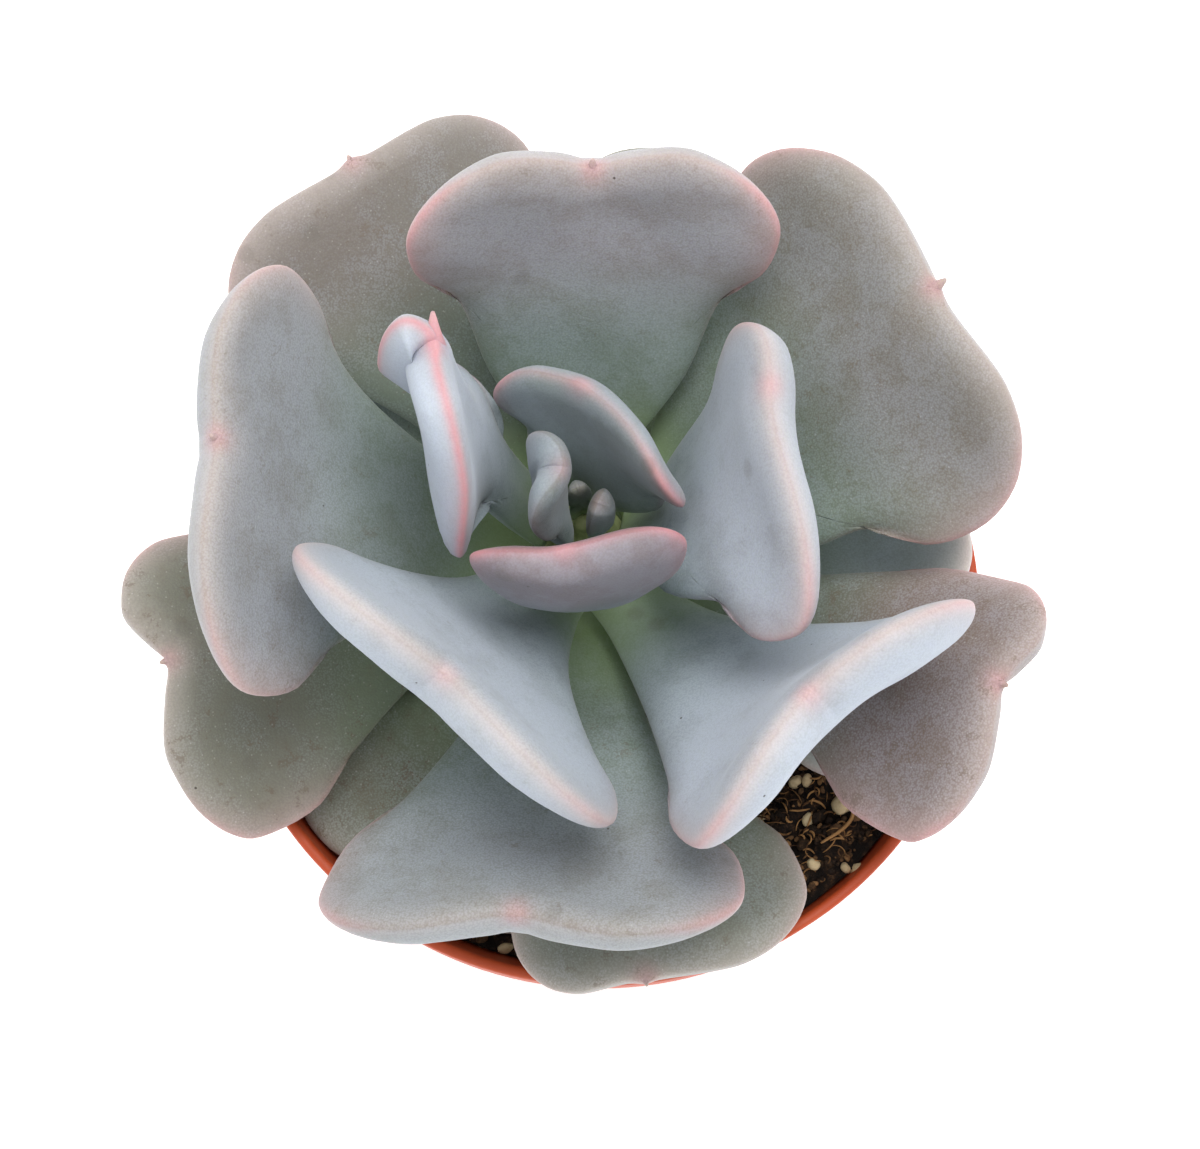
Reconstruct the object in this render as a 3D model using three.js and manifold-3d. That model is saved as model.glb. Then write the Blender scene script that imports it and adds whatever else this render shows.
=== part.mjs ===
// A fleshy rosette plant in a round nursery pot. Millimetres, +Z up.
// The origin is the centre of the pot's underside, and the photographed side faces -Y and up.
import * as THREE from "three";
import { mergeVertices } from "three/addons/utils/BufferGeometryUtils.js";
import Module from "manifold-3d";

const wasm = await Module();
wasm.setup();

const RAD = Math.PI / 180;
const TURN = 2 * Math.PI;
const SEAT_GAP = 0.3; // between pieces that touch
const HOLE_GAP = 0.4; // round the stem in its hole

// ---- pot: a thin moulded cup with a stepped collar and drain holes in a raised part of its floor
const RIM_RADIUS = 52.5;
const RIM_HEIGHT = 92;
const COLLAR_HEIGHT = 10;
const COLLAR_STEP = 1.6; // how far the collar stands out from the body
const COLLAR_DRAFT = 0.9; // how much narrower the collar is at its foot
const BASE_RADIUS = 37;
const WALL = 1.3;
const LIP_WIDTH = 1.5;
const LIP_ROUND = 0.7;
const EDGE_ROUND = 0.5; // the smaller edges, such as the collar's foot and the lip's inner edge
const FOOT_WIDTH = 4;
const FOOT_ROUND = 1;
const PAD_RADIUS = 12; // the middle of the floor stands on the ground like the foot ring
const FLOOR_RISE = 3; // the floor between the pad and the foot ring stands this far above them
const FLOOR_SLOPE = 1.5; // how far out the floor's steps slope, and the round between floor and wall
const FLOOR_THICKNESS = 1.6;
const DRAIN_RADIUS = 3.5;
const DRAIN_CIRCLE = 22;
const DRAIN_COUNT = 6;
const DRAIN_SIDES = 14;
const POT_SIDES = 48;

// ---- soil: a filling with a lumpy top, banked up against the wall at one place
const SOIL_LEVEL = 83.3;
const LUMP_HEIGHT = 0.5;
const LUMP_ACROSS = 11.4; // from one lump to the next, along X, along Y and on the diagonal
const LUMP_ALONG = 13;
const LUMP_DIAGONAL = 7.4;
const SMOOTH_RADIUS = 18; // the lumps fade out towards the stem
const BANK_HEIGHT = 5;
const BANK_AZIMUTH = 308;
const BANK_SPREAD = 50; // degrees to either side
const BANK_FOOT = 24; // the radius where the bank starts to rise
const SOIL_CORNER = 2; // the bevel between the soil's bottom and side
const SOIL_RINGS = 9;
const SOIL_SIDES = 48;

// ---- stem: a short fleshy stem that stands in a plain hole in the soil
const STEM_X = -2;
const STEM_Y = 7;
const STEM_RADIUS = 6;
const STEM_FOOT = 58;
const STEM_SHOULDER = 97.5;
const STEM_TOP = 110;
const STEM_TIP_RADIUS = 0.9;
const STEM_ROUND = 1;
const STEM_SIDES = 28;
const HOLE_SIDES = 20;

// ---- leaves
const STATIONS = 14; // points on one side of the outline, from the foot to the tip
const SPOKES = STATIONS + 1; // mesh lines from the midrib to one side's margin
const RING_SHARES = [0, 0.5, 0.84, 0.96, 1]; // from the midrib out to the margin
const MIDRIB_SHARE = 0.84; // how much of the midrib the spokes start from
const FOOT_SHARE = 0.17; // the foot's half width is this share of the leaf's, and the extra, up to the most
const FOOT_EXTRA = 1.2;
const FOOT_MOST = 6.2;
const HEEL_PLACE = 0.13; // just past the foot the leaf is a little wider
const HEEL_SWELL = 1.12;
const WAIST_PLACE = 0.36;
const LOBE_CENTRE = 0.42; // where each lobe is highest, as a share of the half width
const LOBE_ANGLES = [-60, -30, 0, 25, 50, 72]; // points of each lobe's round, in degrees
const LOBE_UNDER = 0.6; // how far down to the waist the round below the greatest width reaches
const SPINE_LENGTH = 1.9; // the small point in the notch of the tip
const SPINE_WIDTH = 0.8; // half of it, at its foot
const FULL_SPINE_WIDTH = 12; // half width of the leaves from which on the spine is that long
const MIDRIB_STEPS = 48;
const MIDRIB_REACH = 1.15; // the midrib's curve runs on past the tip, under the lobes
const FOLD_STEPS = 12;
const FOLD_SHARE = 0.22; // how gently the sides turn up from the midrib, by the half width
const CHANNEL_END = 0.55; // the channel fades out up to here, as a share of the length
const SPREAD_START = 0.3; // and the sides take their slope at the tip over this stretch
const SPREAD_LENGTH = 0.6;
const UPPER_SHARE = 0.22; // how much of the thickness lies above the bent middle sheet
const MARGIN_DROP = 0.15; // how far the margin's crest lies below that sheet, as a share of the thickness
const LOBE_TAPER = 0.3; // how much thinner the lobes are at their ends
const LOBE_START = 0.5; // where the taper begins, as a share of the half width
const KEEL = 0.18; // extra thickness along the midrib, on the back
const KEEL_WIDTH = 0.35;
const MARGIN_ROUND = 0.75; // the margin rounds off over this share of the thickness
const FOOT_THICKNESS = 0.62; // the foot's thickness, as a share of the leaf's
const FOOT_REACH = 0.5; // the leaf has its full thickness from here on
const LEAF_COLOR = 0x9aa8a5;

// A leaf's dimensions. Lengths are in mm and angles in degrees.
//   azimuth: where the leaf points, 0 along +X and 90 along +Y; seat, height: where its foot meets the stem
//   length, halfWidth: from the foot to the notch of the tip, and from the midrib to the margin; thickness
//   lift, rise: the slope at the foot, and what the slope gains by the tip; sweep: the sideways bend
//   roll, twist: the turn about the midrib at the foot, and what the turn gains by the tip
//   channel, spread: how steeply the sides rise near the foot, and towards the tip, below 0 where they droop
//   lean: how much more the right side rises than the left; skew: how much wider the right side is
//   waist, shoulder: the width at a third of the length, and the place of the greatest width, as shares
//   notch: how far the lobes reach past the notch, as a share of the length
const TYPICAL_LEAF = {
  seat: 6.8,
  thickness: 5.6,
  sweep: 0,
  roll: 0,
  twist: 0,
  channel: 14,
  spread: -12,
  lean: 0,
  skew: 0,
  waist: 0.36,
  shoulder: 0.8,
  notch: 0.05,
};

// The bud: small leaves that stand upright.
const BUD_LEAVES = [
  { azimuth: 110, seat: 1, height: 110.5, length: 9.4, halfWidth: 1.8, thickness: 2, lift: 82, rise: 4,
    channel: 26, spread: 0, waist: 0.74, shoulder: 0.55, notch: -0.02 },
  { azimuth: 332, seat: 1.6, height: 110.5, length: 13.8, halfWidth: 3, thickness: 3, lift: 89.5, rise: 1,
    sweep: 2, roll: -2, twist: -2, channel: 31, spread: -4, waist: 0.76, shoulder: 0.55, notch: -0.02 },
  { azimuth: 192, seat: 2.6, height: 109.9, length: 28.2, halfWidth: 7.8, thickness: 4, lift: 86, rise: 10,
    sweep: -18, roll: -21, twist: 30, channel: 0, spread: -48, lean: -16, waist: 0.68, notch: 0.03 },
  { azimuth: 88, seat: 3.6, height: 106.2, length: 27.4, halfWidth: 15.4, thickness: 4, lift: 79.5,
    rise: -15, sweep: 14, roll: 25, twist: 22, channel: 30, spread: 22, lean: 2, skew: 0.17, waist: 0.64,
    shoulder: 0.71, notch: 0 },
  { azimuth: 254.5, seat: 4, height: 106.8, length: 35.2, halfWidth: 13.8, thickness: 4.6, lift: 52.5,
    rise: 51, sweep: 31, roll: -3, twist: 6, channel: 47, spread: 13, lean: 9, skew: -0.12, waist: 0.42,
    shoulder: 0.83, notch: 0.01 },
];

// The cup: steep leaves, some of them twisted, whose thick ends show from above.
const CUP_LEAVES = [
  { azimuth: 156, seat: 4.8, height: 105.9, length: 45.4, halfWidth: 15.8, lift: 52.5, rise: 29,
    sweep: -40, roll: -12, twist: -56, channel: 5, spread: -56, lean: -68, skew: -0.22, shoulder: 0.54,
    notch: 0.07 },
  { azimuth: 16.5, seat: 5.6, height: 102.3, length: 44.8, halfWidth: 21.2, thickness: 5.8, lift: 57.5,
    rise: 15, sweep: 16, roll: 27, twist: 11, channel: 24, spread: 1, lean: -23, skew: 0.44, waist: 0.56,
    shoulder: 0.79, notch: 0.01 },
  { azimuth: 236.5, seat: 6.4, height: 103.7, length: 48.6, halfWidth: 26.4, thickness: 6.2, lift: 38.5,
    rise: 38, sweep: 9, roll: 9, twist: 8, channel: 19, spread: -5, skew: -0.03, waist: 0.39,
    shoulder: 0.81, notch: 0.1 },
  { azimuth: 89, height: 100.5, length: 51, halfWidth: 24.6, lift: 35.5, rise: 31, sweep: -2, twist: -4,
    channel: 30, spread: 17, lean: -4, waist: 0.54, shoulder: 0.84, notch: 0.07 },
  { azimuth: 304.5, height: 100.9, length: 58.6, halfWidth: 24.2, thickness: 6.4, lift: 16, rise: 72,
    sweep: 24, roll: 4, twist: 9, channel: -21, spread: -17, lean: 2, skew: -0.07, waist: 0.43,
    shoulder: 0.87, notch: 0.06 },
];

// The skirt: broad leaves that spread outwards, the lowest of them over the pot's rim.
const SKIRT_LEAVES = [
  { azimuth: 176.5, height: 98.9, length: 57, halfWidth: 28.4, lift: 25.5, rise: 41, sweep: -2, roll: -9,
    channel: 19, spread: 6, lean: 11, skew: -0.09, waist: 0.45, shoulder: 0.82 },
  { azimuth: 29.5, height: 97, length: 57.4, halfWidth: 29.2, lift: 37.5, rise: 3, roll: 7, twist: 9,
    spread: -10, lean: -29, waist: 0.6, shoulder: 0.75, notch: 0.01 },
  { azimuth: 265, height: 95.7, length: 59.8, halfWidth: 27.6, lift: 12.5, rise: 43, sweep: -9, roll: -2,
    twist: -6, channel: 18, spread: -6, lean: -10, waist: 0.45, shoulder: 0.85, notch: 0.06 },
  { azimuth: 124, height: 94.8, length: 55.4, halfWidth: 24.4, lift: 21, rise: 3, sweep: -3, roll: 3,
    twist: -6, channel: 5, lean: -8, waist: 0.42, notch: 0 },
  { azimuth: 338, height: 93.3, length: 59, halfWidth: 19.4, lift: 19.5, rise: 19, sweep: -6, twist: -11,
    channel: -3, spread: -17, lean: 14, skew: 0.2, shoulder: 0.89, notch: 0.04 },
  { azimuth: 196.5, height: 92.1, length: 53.4, halfWidth: 21.8, lift: 13.5, rise: 7, sweep: 4, twist: 7,
    channel: -2, spread: -15, lean: -4, skew: -0.2, waist: 0.39, shoulder: 0.88, notch: 0.07 },
  { azimuth: 66.5, height: 90.7, length: 48, halfWidth: 24.4, lift: 13, rise: 4, waist: 0.42,
    shoulder: 0.76 },
  { azimuth: 276, height: 90.8, length: 55.4, halfWidth: 20.4, lift: 11, rise: 7, sweep: 4, roll: 6,
    twist: 5, channel: -33, spread: -14, lean: -24, skew: -0.14, waist: 0.3, shoulder: 0.81, notch: 0 },
  { azimuth: 144, height: 87.7, length: 45, halfWidth: 23.2, thickness: 5.4, lift: 18.5, rise: 4, twist: 3,
    waist: 0.42, shoulder: 0.76 },
  { azimuth: 347, height: 87.4, length: 45.2, halfWidth: 22.4, thickness: 5.4, lift: 19.5, rise: 2,
    sweep: -7, roll: -2, twist: -8, channel: 0, spread: 3, lean: -13, waist: 0.42, shoulder: 0.76 },
  { azimuth: 242, height: 87.1, length: 43.6, halfWidth: 22.2, thickness: 5.2, lift: 11.5, rise: -15,
    roll: 8, twist: -6, channel: -17, spread: -9, waist: 0.42, shoulder: 0.78 },
];
const LEAVES = [...BUD_LEAVES, ...CUP_LEAVES, ...SKIRT_LEAVES].map((leaf) => ({ ...TYPICAL_LEAF, ...leaf }));

// A closed geometry as a solid, and a solid as a geometry.
function solidOf(geometry) {
  const bare = geometry.clone();
  bare.deleteAttribute("normal");
  bare.deleteAttribute("uv");
  const merged = mergeVertices(bare, 1e-4);
  return new wasm.Manifold(
    new wasm.Mesh({
      numProp: 3,
      vertProperties: merged.attributes.position.array,
      triVerts: new Uint32Array(merged.index.array),
    }),
  );
}

function geometryOf(solid) {
  const mesh = solid.getMesh();
  return new THREE.BufferGeometry()
    .setAttribute("position", new THREE.BufferAttribute(mesh.vertProperties, 3))
    .setIndex(new THREE.BufferAttribute(mesh.triVerts, 1));
}

// A body turned round the Z axis from [radius, height] points, which run up the outside.
function turned(points, sides) {
  const profile = points.map(([r, z]) => new THREE.Vector2(r, z));
  return new THREE.LatheGeometry(profile, sides).rotateX(Math.PI / 2);
}

function cylinder(radius, bottom, top, sides) {
  return turned([[0, bottom], [radius, bottom], [radius, top], [0, top]], sides);
}

function finish(name, geometry, color, roughness) {
  const material = new THREE.MeshStandardMaterial({ color, roughness, metalness: 0 });
  const mesh = new THREE.Mesh(geometry, material);
  mesh.name = name;
  return mesh;
}

// Smooth step from 0 to 1.
function ease(value) {
  const t = THREE.MathUtils.clamp(value, 0, 1);
  return t * t * (3 - 2 * t);
}

// ---- pot ----
const COLLAR_FOOT = RIM_HEIGHT - COLLAR_HEIGHT;
const COLLAR_FOOT_RADIUS = RIM_RADIUS - COLLAR_DRAFT;
const BODY_TOP_RADIUS = COLLAR_FOOT_RADIUS - COLLAR_STEP;
const FLOOR_TOP = FLOOR_RISE + FLOOR_THICKNESS;

// The inner wall's radius at a height.
function innerRadius(z) {
  if (z > COLLAR_FOOT) {
    const up = (z - COLLAR_FOOT) / COLLAR_HEIGHT;
    return THREE.MathUtils.lerp(BODY_TOP_RADIUS - WALL, RIM_RADIUS - LIP_WIDTH, up);
  }
  return THREE.MathUtils.lerp(BASE_RADIUS, BODY_TOP_RADIUS, z / COLLAR_FOOT) - WALL;
}

function potBody() {
  const lipTop = RIM_HEIGHT - LIP_ROUND;
  const outline = [
    [0, 0],
    [PAD_RADIUS, 0],
    [PAD_RADIUS + FLOOR_SLOPE, FLOOR_RISE],
    [BASE_RADIUS - FOOT_WIDTH - FLOOR_SLOPE, FLOOR_RISE],
    [BASE_RADIUS - FOOT_WIDTH, 0],
    [BASE_RADIUS - FOOT_ROUND, 0],
    [BASE_RADIUS, FOOT_ROUND],
    [BODY_TOP_RADIUS, COLLAR_FOOT - EDGE_ROUND],
    [COLLAR_FOOT_RADIUS, COLLAR_FOOT],
    [RIM_RADIUS, lipTop],
    [RIM_RADIUS - LIP_ROUND * 0.3, RIM_HEIGHT - LIP_ROUND * 0.3],
    [RIM_RADIUS - LIP_ROUND, RIM_HEIGHT],
    [RIM_RADIUS - LIP_WIDTH + EDGE_ROUND, RIM_HEIGHT],
    [RIM_RADIUS - LIP_WIDTH, RIM_HEIGHT - EDGE_ROUND],
    [innerRadius(COLLAR_FOOT), COLLAR_FOOT],
    [innerRadius(FLOOR_TOP + FLOOR_SLOPE), FLOOR_TOP + FLOOR_SLOPE],
    [innerRadius(FLOOR_TOP) - FLOOR_SLOPE, FLOOR_TOP],
    [PAD_RADIUS, FLOOR_TOP],
    [PAD_RADIUS - FLOOR_SLOPE, FLOOR_THICKNESS],
    [0, FLOOR_THICKNESS],
  ];
  let solid = solidOf(turned(outline, POT_SIDES));
  for (let i = 0; i < DRAIN_COUNT; i += 1) {
    const angle = (i / DRAIN_COUNT) * TURN;
    const drain = cylinder(DRAIN_RADIUS, FLOOR_RISE - 1, FLOOR_TOP + 1, DRAIN_SIDES);
    drain.translate(DRAIN_CIRCLE * Math.cos(angle), DRAIN_CIRCLE * Math.sin(angle), 0);
    solid = solid.subtract(solidOf(drain));
  }
  return geometryOf(solid);
}

// ---- soil ----
const SOIL_RADIUS = innerRadius(COLLAR_FOOT) - SEAT_GAP;

// The height of the soil at a place: slow lumps, and the bank against the wall.
function soilHeight(x, y) {
  const radius = Math.hypot(x, y);
  const wide = Math.sin((TURN * x) / LUMP_ACROSS) * Math.cos((TURN * y) / LUMP_ALONG);
  const fine = Math.sin((TURN * (x - y)) / LUMP_DIAGONAL);
  const lumps = (wide + 0.7 * fine) * ease(radius / SMOOTH_RADIUS - 0.4);
  const away = THREE.MathUtils.euclideanModulo(Math.atan2(y, x) / RAD - BANK_AZIMUTH + 180, 360) - 180;
  const outward = ease((radius - BANK_FOOT) / (SOIL_RADIUS - BANK_FOOT));
  const bank = ease(1 - Math.abs(away) / BANK_SPREAD) * outward;
  return SOIL_LEVEL + LUMP_HEIGHT * lumps + BANK_HEIGHT * bank;
}

function soilBody() {
  const bottom = FLOOR_TOP + SEAT_GAP;
  const corner = bottom + SOIL_CORNER;
  const side = [
    [0, bottom - FLOOR_RISE],
    [PAD_RADIUS - FLOOR_SLOPE - SEAT_GAP, bottom - FLOOR_RISE],
    [PAD_RADIUS - SEAT_GAP, bottom],
    [innerRadius(bottom) - SEAT_GAP - SOIL_CORNER, bottom],
    [innerRadius(corner) - SEAT_GAP, corner],
    [SOIL_RADIUS, COLLAR_FOOT],
  ];
  const rings = side.map(([r, z]) => ring(r, () => z));
  for (let i = 0; i <= SOIL_RINGS; i += 1) {
    rings.push(topRing(SOIL_RADIUS * Math.sqrt(1 - i / SOIL_RINGS)));
  }
  const hole = cylinder(STEM_RADIUS + HOLE_GAP, STEM_FOOT - SEAT_GAP, RIM_HEIGHT, HOLE_SIDES);
  hole.translate(STEM_X, STEM_Y, 0);
  return geometryOf(solidOf(stack(rings)).subtract(solidOf(hole)));
}

// A ring of the soil's top, which reaches out to the flaring wall as far as the soil rises.
function topRing(radius) {
  return ring(radius, soilHeight).map(({ x, y, z }) => {
    const outward = (innerRadius(z) - SEAT_GAP) / SOIL_RADIUS;
    return new THREE.Vector3(x * outward, y * outward, z);
  });
}

// A ring of points round the Z axis, or its centre point where the radius is 0.
function ring(radius, height) {
  const count = radius < 1e-9 ? 1 : SOIL_SIDES;
  return Array.from({ length: count }, (_, i) => {
    const angle = (i / SOIL_SIDES) * TURN;
    const x = radius * Math.cos(angle);
    const y = radius * Math.sin(angle);
    return new THREE.Vector3(x, y, height(x, y));
  });
}

// Rings joined from the bottom up, from one centre point to another.
function stack(rings) {
  const points = rings.flat();
  const starts = rings.map((_, i) => rings.slice(0, i).flat().length);
  const faces = [];
  for (let r = 0; r + 1 < rings.length; r += 1) {
    for (let i = 0; i < SOIL_SIDES; i += 1) {
      const at = (row, k) => starts[row] + (k % rings[row].length);
      if (rings[r].length > 1) faces.push(at(r, i), at(r, i + 1), at(r + 1, i + 1));
      if (rings[r + 1].length > 1) faces.push(at(r, i), at(r + 1, i + 1), at(r + 1, i));
    }
  }
  return new THREE.BufferGeometry().setFromPoints(points).setIndex(faces);
}

// ---- stem ----
function stemBody() {
  const profile = [
    [0, STEM_FOOT],
    [STEM_RADIUS - STEM_ROUND, STEM_FOOT],
    [STEM_RADIUS, STEM_FOOT + STEM_ROUND],
    [STEM_RADIUS, STEM_SHOULDER],
    [STEM_TIP_RADIUS, STEM_TOP - EDGE_ROUND],
    [0, STEM_TOP],
  ];
  return turned(profile, STEM_SIDES).translate(STEM_X, STEM_Y, 0);
}

// ---- leaf ----
// One side of the flat outline, from the foot to the notch: x away from the midrib, y along it.
function sideOutline(leaf) {
  const { length, halfWidth, waist, shoulder, notch } = leaf;
  const foot = Math.min(FOOT_SHARE * halfWidth + FOOT_EXTRA, FOOT_MOST);
  const points = [
    new THREE.Vector2(foot, 0),
    new THREE.Vector2(foot * HEEL_SWELL, HEEL_PLACE * length),
    new THREE.Vector2(waist * halfWidth, WAIST_PLACE * length),
  ];
  for (const degrees of LOBE_ANGLES) {
    const reach = degrees < 0 ? LOBE_UNDER * (shoulder - WAIST_PLACE) : 1 + notch - shoulder;
    const x = LOBE_CENTRE + (1 - LOBE_CENTRE) * Math.cos(degrees * RAD);
    const y = shoulder + reach * Math.sin(degrees * RAD);
    points.push(new THREE.Vector2(x * halfWidth, y * length));
  }
  points.push(new THREE.Vector2(LOBE_CENTRE * halfWidth, (1 + notch) * length));
  points.push(new THREE.Vector2(0.16 * halfWidth, (1 + 0.45 * notch) * length));
  points.push(new THREE.Vector2(Math.min(SPINE_WIDTH, 0.03 * halfWidth + 0.15), length));
  const curve = new THREE.SplineCurve(points);
  return Array.from({ length: STATIONS + 1 }, (_, i) => curve.getPoint(i / STATIONS));
}

// The flat leaf as a grid of [x, y, distance to the margin]: one row for each mesh line across half the leaf.
// Rows run from the foot up the right side, round the tip and down the left side.
function flatGrid(leaf) {
  const side = sideOutline(leaf);
  const rows = [];
  for (let i = 0; i <= 2 * SPOKES; i += 1) {
    const k = Math.min(i, 2 * SPOKES - i);
    const right = i <= SPOKES ? 1 + leaf.skew : leaf.skew - 1;
    const edge = k < SPOKES ? side[k] : new THREE.Vector2(0, leaf.length);
    rows.push({
      edge: new THREE.Vector2(edge.x * right, edge.y),
      midrib: new THREE.Vector2(0, (MIDRIB_SHARE * leaf.length * k) / SPOKES),
    });
  }
  const margin = rows.slice(1).map((row, i) => new THREE.Line3(flat3(rows[i].edge), flat3(row.edge)));
  const nearest = new THREE.Vector3();
  const spine = SPINE_LENGTH * Math.min(1, leaf.halfWidth / FULL_SPINE_WIDTH);
  return rows.map(({ edge, midrib }, i) =>
    RING_SHARES.map((share) => {
      const point = flat3(midrib.clone().lerp(edge, share));
      const reach = (line) => line.closestPointToPoint(point, true, nearest).distanceTo(point);
      const distance = share === 1 ? 0 : Math.min(...margin.map(reach));
      return [point.x, point.y + (share === 1 && i === SPOKES ? spine : 0), distance];
    }),
  );
}

function flat3(point) {
  return new THREE.Vector3(point.x, point.y, 0);
}

// The midrib in space: points with the directions along, to the right side and up from the leaf's face.
function midribFrames(leaf) {
  const step = (MIDRIB_REACH * leaf.length) / MIDRIB_STEPS;
  const foot = leaf.azimuth * RAD;
  const point = new THREE.Vector3(STEM_X, STEM_Y, leaf.height);
  point.add(new THREE.Vector3(leaf.seat * Math.cos(foot), leaf.seat * Math.sin(foot), 0));
  const frames = [];
  for (let i = 0; i <= MIDRIB_STEPS; i += 1) {
    const t = (i * step) / leaf.length;
    const slope = (leaf.lift + leaf.rise * t) * RAD;
    const heading = (leaf.azimuth + leaf.sweep * t) * RAD;
    const along = new THREE.Vector3(
      Math.cos(slope) * Math.cos(heading),
      Math.cos(slope) * Math.sin(heading),
      Math.sin(slope),
    );
    const right = new THREE.Vector3(Math.sin(heading), -Math.cos(heading), 0);
    const turn = (leaf.roll + leaf.twist * t) * RAD;
    right.applyAxisAngle(along, -turn);
    if (i > 0) point.addScaledVector(along, step / 2).addScaledVector(frames[i - 1].along, step / 2);
    frames.push({ point: point.clone(), along, right, up: new THREE.Vector3().crossVectors(right, along) });
  }
  return { frames, step };
}

// The point of the bent leaf over a flat point, and the direction up from its face there.
function bentPoint(leaf, { frames, step }, x, y) {
  const t = y / leaf.length;
  const side = Math.sign(x);
  const width = Math.abs(x);
  const channel = leaf.channel * (1 - ease(t / CHANNEL_END));
  const spread = (leaf.spread + side * leaf.lean) * ease((t - SPREAD_START) / SPREAD_LENGTH);
  const rise = channel + spread;
  const softness = FOLD_SHARE * leaf.halfWidth + 1;
  const slopeAt = (distance) => rise * RAD * (1 - Math.exp(-distance / softness));
  let across = 0;
  let above = 0;
  for (let i = 0; i < FOLD_STEPS; i += 1) {
    const slope = slopeAt((width * (i + 0.5)) / FOLD_STEPS);
    across += (Math.cos(slope) * width) / FOLD_STEPS;
    above += (Math.sin(slope) * width) / FOLD_STEPS;
  }
  const place = Math.min(Math.max(y / step, 0), MIDRIB_STEPS);
  const below = Math.min(Math.floor(place), MIDRIB_STEPS - 1);
  const mix = (key) => frames[below][key].clone().lerp(frames[below + 1][key], place - below);
  const right = mix("right");
  const up = mix("up");
  const point = mix("point").addScaledVector(right, side * across).addScaledVector(up, above);
  const edgeSlope = slopeAt(width);
  const normal = up.multiplyScalar(Math.cos(edgeSlope)).addScaledVector(right, -side * Math.sin(edgeSlope));
  return { point, normal };
}

// How far the leaf's face and back lie from its bent middle sheet.
function leafDepths(leaf, x, y, marginDistance) {
  const grown = THREE.MathUtils.lerp(FOOT_THICKNESS, 1, ease(y / leaf.length / FOOT_REACH));
  const sideWidth = leaf.halfWidth * (1 + Math.sign(x) * leaf.skew);
  const lobeEnd = ease((Math.abs(x) / sideWidth - LOBE_START) / (1 - LOBE_START));
  const depth = leaf.thickness * grown * (1 - LOBE_TAPER * lobeEnd);
  const inside = Math.min(marginDistance / (MARGIN_ROUND * leaf.thickness), 1);
  const round = Math.sqrt(1 - (1 - inside) ** 2);
  const drop = MARGIN_DROP * depth * (1 - round);
  const keel = 1 + KEEL * Math.exp(-((x / (KEEL_WIDTH * leaf.halfWidth)) ** 2));
  return {
    face: UPPER_SHARE * depth * round - drop,
    back: (1 - UPPER_SHARE) * depth * round * keel + drop,
  };
}

function leafBody(leaf) {
  const midrib = midribFrames(leaf);
  const points = [];
  const rows = flatGrid(leaf).map((row) =>
    row.map(([x, y, distance]) => {
      const { point, normal } = bentPoint(leaf, midrib, x, y);
      const { face, back } = leafDepths(leaf, x, y, distance);
      points.push(point.clone().addScaledVector(normal, face), point.clone().addScaledVector(normal, -back));
      return points.length - 2;
    }),
  );
  const last = rows.length - 1;
  const outer = RING_SHARES.length - 1;
  // Both halves share the midrib's points, and the face and back share the margin's.
  const vertex = (i, j, back) => {
    const row = j === 0 ? Math.min(i, last - i) : i;
    return rows[row][j] + (back && j < outer ? 1 : 0);
  };
  const faces = [];
  const triangle = (a, b, c) => {
    if (a !== b && b !== c && c !== a) faces.push(a, b, c);
  };
  for (let i = 0; i < last; i += 1) {
    for (let j = 0; j < outer; j += 1) {
      for (const back of [false, true]) {
        const [a, b] = [vertex(i, j, back), vertex(i, j + 1, back)];
        const [c, d] = [vertex(i + 1, j + 1, back), vertex(i + 1, j, back)];
        if (back) {
          triangle(a, c, b);
          triangle(a, d, c);
        } else {
          triangle(a, b, c);
          triangle(a, c, d);
        }
      }
    }
  }
  const rim = [];
  for (let j = 0; j <= outer; j += 1) rim.push(vertex(0, j, false));
  for (let j = outer - 1; j >= 0; j -= 1) rim.push(vertex(0, j, true));
  for (let j = 1; j <= outer; j += 1) rim.push(vertex(last, j, true));
  for (let j = outer - 1; j >= 1; j -= 1) rim.push(vertex(last, j, false));
  const centre = new THREE.Vector3();
  rim.forEach((index) => centre.addScaledVector(points[index], 1 / rim.length));
  points.push(centre);
  rim.forEach((index, i) => triangle(rim[(i + 1) % rim.length], index, points.length - 1));
  const geometry = new THREE.BufferGeometry().setFromPoints(points).setIndex(faces);
  return geometryOf(solidOf(geometry));
}

// ---- assembly ----
const plant = new THREE.Group();
plant.add(finish("pot", potBody(), 0xb04c32, 0.55));
plant.add(finish("soil", soilBody(), 0x2a211b, 0.95));
plant.add(finish("stem", stemBody(), 0x7f8c5a, 0.6));
LEAVES.forEach((leaf, i) => {
  const name = "leaf_" + String(i + 1).padStart(2, "0");
  plant.add(finish(name, leafBody(leaf), LEAF_COLOR, 0.7));
});

export default plant;
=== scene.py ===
import math

import bpy
import numpy as np
from bpy.props import FloatProperty, FloatVectorProperty, IntProperty, PointerProperty
from mathutils import Matrix, Vector, noise


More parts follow.
